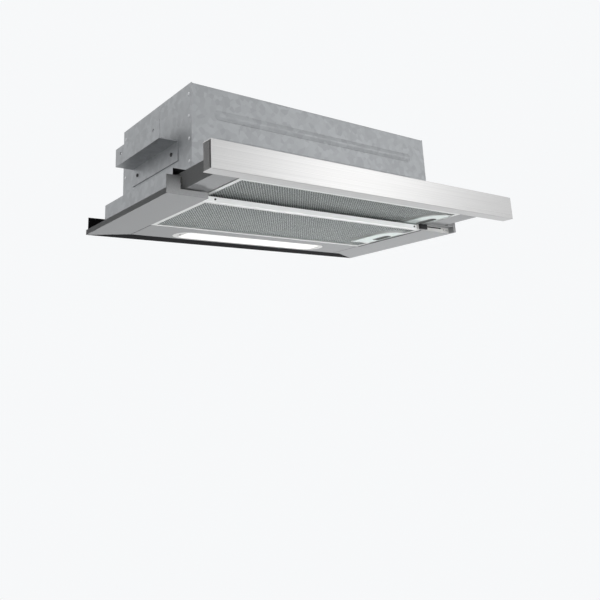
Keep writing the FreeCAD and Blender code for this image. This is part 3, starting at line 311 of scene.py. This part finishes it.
def spangle(name, colour, cell, swing, roughness):
    """A zinc coating: crystal cells, each with its own grey."""
    made = finish(name, colour, roughness, metallic=0.85, grain=even(90), bump=0.01)
    tree = made.node_tree
    place = shader_node(tree, "TexCoord")
    cells = shader_node(tree, "TexVoronoi", {"Vector": place.outputs["Object"], "Scale": 1 / cell})
    grey = shader_node(tree, "SeparateColor", {"Color": cells.outputs["Color"]})
    set_inputs(tree, tree.nodes["Principled BSDF"], {
        "Base Color": two_tones(tree, grey.outputs["Red"], colour, swing)})
    return made


def glow(name, colour, strength, middle, half_lit, fade):
    """A frosted lens lit from behind: the light is even along X out to half its lit length and
    fades over a short stretch at both ends."""
    pale = [LENS_PALENESS * value for value in colour]
    made = finish(name, pale, 0.35, grain=even(400), swing=0.02, bump=0.03)
    tree = made.node_tree
    place = shader_node(tree, "TexCoord")
    along = shader_node(tree, "SeparateXYZ", {"Vector": place.outputs["Object"]})
    off = shader_node(tree, "Math", {0: along.outputs["X"], 1: middle}, operation="SUBTRACT")
    away = shader_node(tree, "Math", {0: off.outputs["Value"]}, operation="ABSOLUTE")
    lit = shader_node(tree, "MapRange", {
        "Value": away.outputs["Value"], "From Min": half_lit, "From Max": half_lit + fade,
        "To Min": strength, "To Max": 0.0}, interpolation_type="SMOOTHSTEP")
    set_inputs(tree, tree.nodes["Principled BSDF"], {
        "Emission Strength": lit.outputs["Result"], "Emission Color": (*colour, 1)})
    return made


def joined(forms):
    """Several arrays of corners and quads as one."""
    starts = np.cumsum([0] + [len(corners) for corners, _ in forms[:-1]])
    corners = np.concatenate([form[0] for form in forms])
    return corners, np.concatenate([form[1] + start for form, start in zip(forms, starts)])


def add_piece(name, corners, faces, material, body, slot, smooth=False):
    """A mesh object at the origin from whole arrays of corners and quads, riding on a body. Corners
    that meet are merged, and the faces are turned outwards."""
    used = np.unique(faces)
    mesh = bpy.data.meshes.new(name)
    mesh.from_pydata(corners[used].tolist(), [], np.searchsorted(used, faces).tolist())
    work = bmesh.new()
    work.from_mesh(mesh)
    bmesh.ops.remove_doubles(work, verts=work.verts, dist=MERGE)
    bmesh.ops.recalc_face_normals(work, faces=work.faces)
    work.to_mesh(mesh)
    work.free()
    mesh.polygons.foreach_set("use_smooth", np.full(len(mesh.polygons), smooth))
    mesh.update()
    made = bpy.data.objects.new(name, mesh)
    bpy.context.scene.collection.objects.link(made)
    made.data.materials.append(material)
    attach(made, body)
    return made


def outside_bay(bay, x, y):
    """True outside the latch's bay, a rectangle whose near left corner is one large arc."""
    left, near, far, radius = bay
    corner = (x < left + radius) & (y < near + radius)
    past_arc = np.hypot(x - left - radius, y - near - radius) > radius
    return (x < left) | (y < near) | (y > far) | (corner & past_arc)


def strand_faces(pairs, around):
    """Quads of sections carried along rows: a row's step is closed in where its pair is kept, and
    each stretch of kept pairs gets a face at its start and its end."""
    steps = pairs.shape[1] + 1
    corner = np.arange(around)
    following = (corner + 1) % around

    def firsts(mask):
        """The first corner of the section at each true step."""
        row, step = np.nonzero(mask)
        return ((row * steps + step) * around)[:, None]

    first = firsts(pairs)
    second = first + around
    sides = np.stack([first + corner, second + corner, second + following, first + following], -1)
    starts = pairs & ~np.pad(pairs, ((0, 0), (1, 0)))[:, :-1]
    ends = pairs & ~np.pad(pairs, ((0, 0), (0, 1)))[:, 1:]
    return np.concatenate([
        sides.reshape(-1, around), firsts(starts) + corner, firsts(ends) + around + corner])


def expanded_sheet(sizes, low, high, bay):
    """Expanded mesh in a box, round a bay. Strand k runs along X as a zigzag about y = k times the
    pitch, with a crest at every whole wave and a trough at every half. Odd strands are half a wave
    behind, so a crest of one meets a trough of the next. The section is a flat rectangle."""
    swing = (sizes.pitch - sizes.width) / 2
    rows = np.arange(np.ceil((low.y + swing) / sizes.pitch), np.floor((high.y - swing) / sizes.pitch) + 1)
    steps = np.arange(np.ceil(2 * low.x / sizes.wave), np.floor(2 * high.x / sizes.wave) + 1)
    along = steps * sizes.wave / 2
    crest = np.where((rows[:, None] + steps[None, :]) % 2, -1.0, 1.0)
    middle = rows[:, None] * sizes.pitch + crest * swing
    across = np.array([-0.5, 0.5, 0.5, -0.5]) * sizes.width
    through = np.array([-0.5, -0.5, 0.5, 0.5]) * sizes.thickness
    shape = (len(rows), len(along), len(across))
    x = np.broadcast_to(along[None, :, None], shape)
    y = middle[:, :, None] + across
    z = np.broadcast_to(low.z + sizes.inset + through, shape)
    keep = outside_bay(bay, along[None, :], middle)
    corners = np.stack([x, y, z], -1).reshape(-1, 3)
    return corners, strand_faces(keep[:, :-1] & keep[:, 1:], len(across))


def crimped_sheet(sizes, low, high, bay):
    """Inner filter sheet: z is its level plus crossed sines of the crimp pitch along X and Y."""
    step = sizes.crimp / CRIMP_STEPS
    u, v = np.meshgrid(np.arange(low.x, high.x, step), np.arange(low.y, high.y, step), indexing="ij")
    turns = 2 * np.pi / sizes.crimp
    rise = sizes.crimp_rise * np.sin(turns * (u + v)) * np.sin(turns * (u - v))
    corners = np.stack([u, v, low.z + sizes.inset + sizes.inner_gap + rise], -1).reshape(-1, 3)
    keep = outside_bay(bay, u, v)
    whole = keep[:-1, :-1] & keep[1:, :-1] & keep[1:, 1:] & keep[:-1, 1:]
    row, column = np.nonzero(whole)
    first = row * u.shape[1] + column
    return corners, np.stack([first, first + u.shape[1], first + u.shape[1] + 1, first + 1], -1)


def round_outline(radius, reach, around):
    """Spine and offsets of a round-ended outline along its first axis: half the offsets of a circle
    stand on each end of the spine. A reach of nought gives a plain circle."""
    turn = 2 * np.pi * (np.arange(around) + 0.5) / around
    offsets = radius * np.stack([np.cos(turn), np.sin(turn)], -1)
    spine = np.stack([np.sign(np.cos(turn)) * reach, np.zeros(around)], -1)
    return spine, offsets


def closed_forms(places, axes, outline, profile, relief=None):
    """Like closed forms at several places. Ring i is the outline's spine plus its offsets times the
    profile's share i, lifted by the profile's rise i; on rings above the seat the relief, a function
    of the two axes, is added. The first and last ring have no offset, so they close on the spine."""
    spine, offsets = outline
    share, rise = profile[:, :1], profile[:, 1:]
    u, v = (spine[None, :, axis] + share * offsets[None, :, axis] for axis in (0, 1))
    height = np.broadcast_to(rise, u.shape)
    if relief:
        height = height + np.where(rise > 0, relief(u, v), 0)
    local = np.stack([u, v, height], -1).reshape(-1, 3) @ np.array(axes, float)
    places = np.array(places, float)
    corners = (places[:, None, :] + local[None, :, :]).reshape(-1, 3)
    around = len(offsets)
    form, ring, corner = np.meshgrid(
        np.arange(len(places)), np.arange(len(profile) - 1), np.arange(around), indexing="ij")
    first = form * len(local) + ring * around
    second = first + around
    following = (corner + 1) % around
    faces = np.stack([first + corner, first + following, second + following, second + corner], -1)
    return corners, faces.reshape(-1, 4)


def cross_recess(width, reach, depth):
    """Relief of a cross slot: minus the depth where either axis is within the width, out to the reach.
    The fourth and eighth powers soften its edges."""
    def relief(u, v):
        """The slot's relief at points of the head."""
        slot = np.exp(-(np.minimum(np.abs(u), np.abs(v)) / width) ** 4)
        return -depth * slot * np.exp(-(np.hypot(u, v) / reach) ** 8)
    return relief


def pan_head(height, shank):
    """Profile of a pan-head screw as shares of its radius: a dome that falls with the fourth power of
    the share, the head's side, then the shank."""
    dome = np.linspace(0, DOME_EDGE, DOME_RINGS)
    top = np.stack([dome, height * (1 - DOME_FALL * dome ** 4)], -1)
    rest = np.array([[1.0, HEAD_SIDE * height], [1.0, 0.0], [SHANK_SHARE, 0.0], [SHANK_SHARE, -shank],
                     [0.0, -shank]])
    return np.concatenate([top, rest])


def rooted(share, rise, root):
    """Profile of a raised form whose foot stands in its seat by the root."""
    return np.concatenate([np.stack([share, rise], -1), [[1.0, -root], [0.0, -root]]])


def round_bead(width, height, reach):
    """Outline and profile of a low bead with a half-elliptic section: the rise is the height times
    the root of one less the share squared."""
    share = np.linspace(0, 1, TRIM_RINGS)
    profile = rooted(share, height * np.sqrt(1 - share ** 2), TRIM_ROOT * height)
    return round_outline(width / 2, reach - width / 2, TRIM_SIDES), profile


class HOOD_OT_finishes(bpy.types.Operator):
    """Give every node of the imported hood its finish."""
    bl_idname = "hood.finishes"
    bl_label = "Finishes"

    def execute(self, context):
        colours = context.scene.hood_colours
        low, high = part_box("lamp_lens")
        lit = ((low.x + high.x) / 2, (high.x - low.x) / 2 - UNLIT_END, UNLIT_END / 2)
        by_slot = {
            "stainless": finish("brushed_stainless", colours.stainless, 0.30, 1.0, BRUSHED,
                                swing=0.10, rough_swing=0.06, bump=0.05),
            "cap_grey": finish("cap_grain", (0.58, 0.58, 0.58), 0.55, 0.0, even(900), specular=0.2),
            "silver_paint": finish("silver_coating", colours.silver, 0.65, 0.0, even(700),
                                   swing=0.06, specular=0.06),
            "black_paint": finish("black_coating", (0.012, 0.012, 0.013), 0.75, 0.0, even(500),
                                  specular=0.04),
            "filter_aluminium": finish("bright_sheet", colours.bright, 0.42, 0.2, DRAWN,
                                       swing=0.04, specular=0.3),
            "filter_mesh": finish("mesh_sheet", colours.mesh, 0.38, 0.8, even(300)),
            "latch_grey": finish("latch_moulding", colours.latch, 0.42, 0.0, even(800), swing=0.03),
            "control_silver": finish("control_silver", (0.62, 0.62, 0.61), 0.42, 0.1, even(900), swing=0.04),
            "black_plastic": finish("black_moulding", (0.014, 0.014, 0.015), 0.42, 0.0, even(900)),
            "galvanised": spangle("galvanised_sheet", colours.zinc, CRYSTAL, 0.08, 0.46),
            "zinc_steel": finish("bright_zinc", (0.55, 0.55, 0.53), 0.32, 0.9, ROLLED),
            "bright_steel": finish("polished_steel", (0.70, 0.70, 0.70), 0.14, 1.0, even(300), swing=0.04),
            "screw_steel": finish("dark_zinc", (0.06, 0.06, 0.06), 0.38, 0.7, even(900)),
            "lens_white": glow("lit_lens", colours.glow, LENS_LIGHT, *lit),
            "bezel_silver": finish("bezel_silver", (0.66, 0.66, 0.65), 0.30, 0.6, even(900), swing=0.04),
            "white_paint": finish("reflector_white", (0.80, 0.80, 0.79), 0.40, 0.0, even(300), swing=0.03),
            "white_plastic": finish("white_moulding", (0.74, 0.74, 0.72), 0.45, 0.0, even(600), swing=0.03),
            "duct_plastic": finish("duct_moulding", (0.028, 0.029, 0.031), 0.48, 0.0, even(500)),
            "motor_metal": finish("motor_lacquer", (0.20, 0.20, 0.21), 0.45, 0.6, even(200)),
            "capacitor_can": finish("drawn_can", (0.62, 0.62, 0.62), 0.30, 0.9, DRAWN_UP),
        }
        # Partly painted light: the crossbar's colour is set above the frames' aluminium to make up light its
        # front face lacks.
        own = {"front_crossbar": finish("crossbar_sheet", colours.crossbar, 0.45, 0.0, DRAWN, swing=0.03)}
        for part in frame["record"]["subparts"]:
            materials = frame["nodes"][part["node"]].data.materials
            materials.clear()
            materials.append(own.get(part["node"], by_slot[part["material_slot"]]))
        return {"FINISHED"}


class HOOD_OT_filter_meshes(bpy.types.Operator):
    """Build the expanded mesh and the crimped inner sheet of both grease filters."""
    bl_idname = "hood.filter_meshes"
    bl_label = "Filter meshes"

    def execute(self, context):
        sizes, colours = context.scene.hood_filters, context.scene.hood_colours
        strand = finish("mesh_strands", colours.mesh, 0.42, 0.2, even(250), swing=0.08)
        # Painted shade: the inner sheet's near black stands in for the shade behind the mesh's holes.
        inner = finish("mesh_inner", colours.inner, 0.6, 0.3, even(250), specular=0.2)
        for word, body in (("fixed", "hood_body"), ("visor", "visor")):
            low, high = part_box(word + "_filter_mesh")
            latch_low, latch_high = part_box(word + "_filter_latch")
            bay = (latch_low.x - sizes.bay_travel - sizes.bay_gap, latch_low.y - sizes.bay_gap,
                   latch_high.y + sizes.bay_gap, sizes.bay_radius)
            sheet = add_piece(word + "_filter_strands", *expanded_sheet(sizes, low, high, bay),
                              strand, body, "filter_mesh")
            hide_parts(word + "_filter_mesh")
            above = add_piece(word + "_filter_inner", *crimped_sheet(sizes, low, high, bay),
                              inner, body, "filter_mesh", smooth=True)
            above.modifiers.new("sheet", "SOLIDIFY").thickness = sizes.inner_sheet
        return {"FINISHED"}


class HOOD_OT_finger_cups(bpy.types.Operator):
    """Line each latch's finger recess with a bowl whose dark grey is painted shade of the recess on the pale
    latch.
    """
    bl_idname = "hood.finger_cups"
    bl_label = "Finger cups"

    def execute(self, context):
        sizes, colours = context.scene.hood_fittings, context.scene.hood_colours
        # Painted shade: the cup's dark grey stands in for the shade in the finger recess.
        dark = finish("cup_moulding", colours.cup, 0.55, 0.0, even(900), specular=0.25)
        radius = sizes.cup_width / 2
        outline = round_outline(radius, sizes.cup_length / 2 - radius, CUP_SIDES)
        depth, rim, flange = sizes.cup_depth, sizes.cup_rim, sizes.cup_flange
        # The bowl is deepest in its middle and gets shallower towards the lip with the fourth power.
        bowl = np.linspace(CUP_LIP, 0, BOWL_RINGS)
        inner = np.stack([bowl, BOWL_DEPTH * depth * (1 - (bowl / CUP_LIP) ** 4) - rim], -1)
        outer = np.array([[0.0, depth], [0.98, depth], [1.0, 0.96 * depth], [1.0, -0.1 * rim],
                          [flange, -0.1 * rim], [flange, -0.5 * rim], [0.96 * flange, -rim]])
        profile = np.concatenate([outer, inner])
        for word in ("fixed", "visor"):
            low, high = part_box(word + "_filter_latch")
            place = (high.x - sizes.bolt_reach - sizes.cup_inset, (low.y + high.y) / 2, low.z)
            add_piece(word + "_finger_cup", *closed_forms([place], ALONG_Y, outline, profile), dark,
                      word + "_latch", "latch_grey", smooth=True)
        return {"FINISHED"}


class HOOD_OT_fasteners(bpy.types.Operator):
    """Build the cross-recessed screws and the casing's blind rivets."""
    bl_idname = "hood.fasteners"
    bl_label = "Fasteners"

    def execute(self, context):
        sizes = context.scene.hood_fittings
        dark = finish("recessed_screws", (0.055, 0.055, 0.055), 0.4, 0.6, even(900))
        bright = finish("rivet_aluminium", (0.55, 0.56, 0.57), 0.35, 0.8, even(600))
        large, small, height = sizes.large_head, sizes.small_head, sizes.head_height

        def screws(name, sides, radius):
            """One piece with all the screws of a kind, from their places and axes on each side."""
            outline = round_outline(radius, 0, HEAD_SIDES)
            recess = cross_recess(sizes.recess * radius / large, RECESS_REACH * radius, RECESS_DEPTH * height)
            forms = [closed_forms(places, axes, outline, pan_head(height, sizes.shank_length), recess)
                     for places, axes in sides]
            return add_piece(name, *joined(forms), dark, "hood_body", "screw_steel")

        low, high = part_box("crossbar_screws")
        face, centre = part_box("front_crossbar")[0].y, (low.z + high.z) / 2
        spots = [(x, face, centre) for x in (low.x + small, high.x - small)]
        heads = screws("crossbar_screw_heads", [(spots, FACING_FRONT)], small)
        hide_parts("crossbar_screws")

        low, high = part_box("bracket_screws")
        spots = [(y, (low.z + high.z) / 2) for y in (low.y + large, high.y - large)]
        seat = high.x - height
        heads = screws("bracket_screw_heads", [([(-seat, *spot) for spot in spots], FACING_LEFT),
                                               ([(seat, *spot) for spot in spots], FACING_RIGHT)], large)
        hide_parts("bracket_screws")

        low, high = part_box("duct_collar")
        ring = sizes.collar_ring * np.sqrt(0.5)
        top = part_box("casing_wrap")[1].z + COLLAR_FLANGE
        middle = ((low.x + high.x) / 2, (low.y + high.y) / 2)
        spots = [(middle[0] + across * ring, middle[1] + along * ring, top)
                 for across in (-1, 1) for along in (-1, 1)]
        screws("collar_screw_heads", [(spots, FACING_UP)], large)

        low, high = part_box("lamp_lens")
        spot = (low.x + LENS_SCREW, (low.y + high.y) / 2, low.z + SUNK_HEAD)
        screws("lamp_screw_head", [([spot], FACING_DOWN)], small)

        low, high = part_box("casing_side_left")
        inset, radius, rise = sizes.rivet_inset, sizes.rivet_radius, sizes.rivet_height
        rows = np.linspace(low.z + 2 * inset, high.z - 2 * inset, RIVET_ROWS)
        columns = (low.y + inset, high.y - inset)
        share = np.linspace(0, 1, RIVET_RINGS)
        profile = rooted(share, rise * (1 - share ** 3), ROOT)
        dimple = cross_recess(DIMPLE_WIDTH * radius, DIMPLE_REACH * radius, DIMPLE_DEPTH * rise)
        forms = [closed_forms([(side * -low.x, y, z) for y in columns for z in rows], axes,
                              round_outline(radius, 0, HEAD_SIDES), profile, dimple)
                 for side, axes in ((-1, FACING_LEFT), (1, FACING_RIGHT))]
        add_piece("casing_rivets", *joined(forms), bright, "hood_body", "galvanised", smooth=True)
        return {"FINISHED"}


class HOOD_OT_casing_beads(bpy.types.Operator):
    """Press stiffening beads into the casing's front and back."""
    bl_idname = "hood.casing_beads"
    bl_label = "Casing beads"

    def execute(self, context):
        sizes = context.scene.hood_fittings
        low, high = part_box("casing_wrap")
        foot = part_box("casing_side_left")[0].z
        material = frame["nodes"]["casing_wrap"].data.materials[0]
        radius = sizes.bead_width / 2
        outline = round_outline(radius, sizes.bead_length / 2 - radius, BEAD_SIDES)
        share = np.linspace(0, 1, BEAD_RINGS)
        profile = rooted(share, sizes.bead_height * (1 - share ** 2) ** 2, ROOT)
        rows = [foot + part * (high.z - foot) for part in BEAD_ROWS]
        forms = [closed_forms([(0, low.y, z) for z in rows], FACING_FRONT, outline, profile),
                 closed_forms([(0, high.y, z) for z in rows], FACING_BACK, outline, profile)]
        add_piece("casing_beads", *joined(forms), material, "hood_body", "galvanised", smooth=True)
        return {"FINISHED"}


class HOOD_OT_control_marks(bpy.types.Operator):
    """Print three strokes of growing height beside the speed slot."""
    bl_idname = "hood.control_marks"
    bl_label = "Control marks"

    def execute(self, context):
        sizes = context.scene.hood_fittings
        ink = finish("mark_ink", (0.16, 0.165, 0.165), 0.6, 0.0, even(900), specular=0.2)
        low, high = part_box("control_plate")
        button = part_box("lamp_button")[1].x
        step = (high.x - button) / (len(STROKES) + 1)
        middle = (low.z + high.z) / 2
        profile = np.array([[0.0, INK], [0.8, INK], [1.0, 0.5 * INK], [1.0, -INK], [0.0, -INK]])
        forms = [closed_forms([(button + count * step, low.y, middle)], UPRIGHT_FRONT,
                              round_outline(sizes.mark_width / 2, reach, TRIM_SIDES), profile)
                 for count, reach in enumerate(STROKES, 1)]
        add_piece("control_marks", *joined(forms), ink, "hood_body", "black_plastic")
        return {"FINISHED"}


class HOOD_OT_trim(bpy.types.Operator):
    """Rib the speed knob, lay a dark strip of painted shadow along the gap beside the fixed filter and fill
    the lamp panel's seams.
    """
    bl_idname = "hood.trim"
    bl_label = "Trim"

    def execute(self, context):
        sizes, colours = context.scene.hood_fittings, context.scene.hood_colours
        rubber = finish("trim_rubber", (0.05, 0.052, 0.054), 0.6, 0.0, even(700), specular=0.2)
        filler = finish("seam_filler", colours.seam, 0.6, 0.0, even(700), specular=0.1)

        low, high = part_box("speed_knob")
        spots = [(low.x + part * (high.x - low.x), low.y, (low.z + high.z) / 2) for part in RIB_PLACES]
        bead = round_bead(sizes.rib_width, sizes.rib_height, RIB_REACH * (high.z - low.z))
        add_piece("knob_ribs", *closed_forms(spots, UPRIGHT_FRONT, *bead), rubber,
                  "speed_knob", "black_plastic", smooth=True)

        # Painted shadow: a dark strip along the gap between the fixed filter's frame and the pan.
        low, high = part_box("fixed_filter_frame")
        spot = (high.x + sizes.gap_shadow_width / 2, (low.y + high.y) / 2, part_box("bottom_pan")[0].z)
        bead = round_bead(sizes.gap_shadow_width, sizes.seal_height, (high.y - low.y) / 2)
        add_piece("filter_seal", *closed_forms([spot], ALONG_Y_DOWN, *bead), rubber,
                  "hood_body", "black_plastic", smooth=True)

        low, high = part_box("lamp_panel")
        spots = [(x, (low.y + high.y) / 2, low.z) for x in (low.x, high.x)]
        bead = round_bead(sizes.seam_width, sizes.seal_height / 2, (high.y - low.y) / 2)
        add_piece("panel_seams", *closed_forms(spots, ALONG_Y_DOWN, *bead), filler,
                  "hood_body", "silver_paint", smooth=True)
        return {"FINISHED"}


def seen_rays(tree):
    """The share of rays that show the backdrop: from the camera, a mirror or clear material."""
    rays = shader_node(tree, "LightPath")
    seen = rays.outputs["Is Camera Ray"]
    for word in ("Glossy", "Transmission"):
        either = shader_node(tree, "Math", {0: seen, 1: rays.outputs[f"Is {word} Ray"]}, operation="MAXIMUM")
        seen = either.outputs["Value"]
    return seen


def pale_floor(sizes):
    """A pale floor that keeps the hood's shadow and turns into the backdrop with distance."""
    made = finish("pale_floor", (0.86, 0.87, 0.88), 0.7, 0.0, even(2), swing=0.01)
    tree = made.node_tree
    place = shader_node(tree, "TexCoord")
    away = shader_node(tree, "VectorMath", {0: place.outputs["Object"]}, operation="LENGTH")
    fade = shader_node(tree, "MapRange", {
        "Value": away.outputs["Value"], "From Min": sizes.floor_drop + sizes.fade_from,
        "From Max": sizes.floor_drop + sizes.fade_to, "To Min": sizes.paleness},
        interpolation_type="SMOOTHSTEP")
    shown = shader_node(tree, "Math", {0: fade.outputs["Result"], 1: seen_rays(tree)}, operation="MULTIPLY")
    plain = shader_node(tree, "Emission", {"Color": BACKDROP})
    blend = shader_node(tree, "MixShader", {
        "Fac": shown.outputs["Value"], 1: tree.nodes["Principled BSDF"].outputs["BSDF"],
        2: plain.outputs["Emission"]})
    set_inputs(tree, tree.nodes["Material Output"], {"Surface": blend.outputs["Shader"]})
    return made


def studio_world(sizes):
    """Even studio light, weaker from the hood's left, behind a plain pale backdrop."""
    world = bpy.data.worlds.new("studio")
    world.use_nodes = True
    tree = world.node_tree
    tree.nodes.clear()
    place = shader_node(tree, "TexCoord")
    across = shader_node(tree, "SeparateXYZ", {"Vector": place.outputs["Generated"]})
    share = shader_node(tree, "MapRange", {
        "Value": across.outputs["X"], "From Min": LIGHT_FROM, "From Max": LIGHT_TO,
        "To Min": sizes.ambient * sizes.left_shade, "To Max": sizes.ambient})
    soft = shader_node(tree, "Background", {"Strength": share.outputs["Result"]})
    plain = shader_node(tree, "Background", {"Color": BACKDROP})
    blend = shader_node(tree, "MixShader", {
        "Fac": seen_rays(tree), 1: soft.outputs["Background"], 2: plain.outputs["Background"]})
    shader_node(tree, "OutputWorld", {"Surface": blend.outputs["Shader"]})
    return world


def add_lamp(name, watts, place, target, side, beam, mirrored):
    """A square soft light that faces its target."""
    light = bpy.data.lights.new(name, "AREA")
    light.size = side
    light.energy = watts
    light.spread = np.radians(beam)
    made = bpy.data.objects.new(name, light)
    made.location = place
    made.rotation_euler = (Vector(target) - Vector(place)).to_track_quat("-Z", "Y").to_euler()
    made.visible_glossy = mirrored
    bpy.context.scene.collection.objects.link(made)


def add_camera():
    """The camera: its third axis is square to its right and forward directions, and its shifts put
    the middle pixel in its place."""
    lens = bpy.data.cameras.new("camera")
    made = bpy.data.objects.new("camera", lens)
    right = Vector(CAMERA_RIGHT).normalized()
    forward = Vector(CAMERA_FORWARD).normalized()
    up = right.cross(forward).normalized()
    right = forward.cross(up)
    turn = Matrix((right, up, -forward)).transposed()
    made.matrix_world = Matrix.Translation(CAMERA_PLACE) @ turn.to_4x4()
    lens.sensor_width = SENSOR
    lens.lens = FOCAL_PIXELS * SENSOR / PICTURE
    lens.shift_x = (PICTURE / 2 - CENTRE_PIXEL[0]) / PICTURE
    lens.shift_y = (CENTRE_PIXEL[1] - PICTURE / 2) / PICTURE
    lens.clip_end = FARTHEST
    bpy.context.scene.collection.objects.link(made)
    return made


class HOOD_OT_stage(bpy.types.Operator):
    """Build the floor, the studio light and the camera."""
    bl_idname = "hood.stage"
    bl_label = "Stage"

    def execute(self, context):
        sizes = context.scene.hood_stage
        half, drop = sizes.floor_size / 2, -sizes.floor_drop
        mesh = bpy.data.meshes.new("floor")
        mesh.from_pydata([(-half, -half, drop), (half, -half, drop), (half, half, drop), (-half, half, drop)],
                         [], [(0, 1, 2, 3)])
        floor = bpy.data.objects.new("floor", mesh)
        context.scene.collection.objects.link(floor)
        floor.data.materials.append(pale_floor(sizes))
        context.scene.world = studio_world(sizes)
        for name, row in LAMPS.items():
            add_lamp(name, getattr(sizes, name), *row)
        context.scene.camera = add_camera()
        context.scene.view_settings.view_transform = "Standard"
        return {"FINISHED"}


OPERATORS = (HOOD_OT_finishes, HOOD_OT_filter_meshes, HOOD_OT_finger_cups, HOOD_OT_fasteners,
             HOOD_OT_casing_beads, HOOD_OT_control_marks, HOOD_OT_trim, HOOD_OT_stage)
GROUPS = {"hood_filters": FilterSizes, "hood_fittings": FittingSizes, "hood_colours": FinishColours,
          "hood_stage": StageSizes}


class HOOD_PT_sidebar(bpy.types.Panel):
    """The hood's operators and sizes."""
    bl_idname = "HOOD_PT_sidebar"
    bl_label = "Range hood"
    bl_space_type = "VIEW_3D"
    bl_region_type = "UI"
    bl_category = "Range hood"

    def draw(self, context):
        for operator in OPERATORS:
            self.layout.operator(operator.bl_idname)
        for name, group in GROUPS.items():
            box = self.layout.box()
            for prop in group.__annotations__:
                box.prop(getattr(context.scene, name), prop)


def register():
    """Register the classes and hang the property groups on the scene."""
    for made in (*GROUPS.values(), *OPERATORS, HOOD_PT_sidebar):
        bpy.utils.register_class(made)
    for name, group in GROUPS.items():
        setattr(bpy.types.Scene, name, bpy.props.PointerProperty(type=group))


def unregister():
    """Take the property groups off the scene and unregister the classes."""
    for name in GROUPS:
        delattr(bpy.types.Scene, name)
    for made in (HOOD_PT_sidebar, *reversed(OPERATORS), *reversed(GROUPS.values())):
        bpy.utils.unregister_class(made)


def main():
    """Build the hood's pieces and the stage in order."""
    register()
    bpy.ops.hood.finishes()
    bpy.ops.hood.filter_meshes()
    bpy.ops.hood.finger_cups()
    bpy.ops.hood.fasteners()
    bpy.ops.hood.casing_beads()
    bpy.ops.hood.control_marks()
    bpy.ops.hood.trim()
    bpy.ops.hood.stage()


if __name__ == "__main__":
    main()
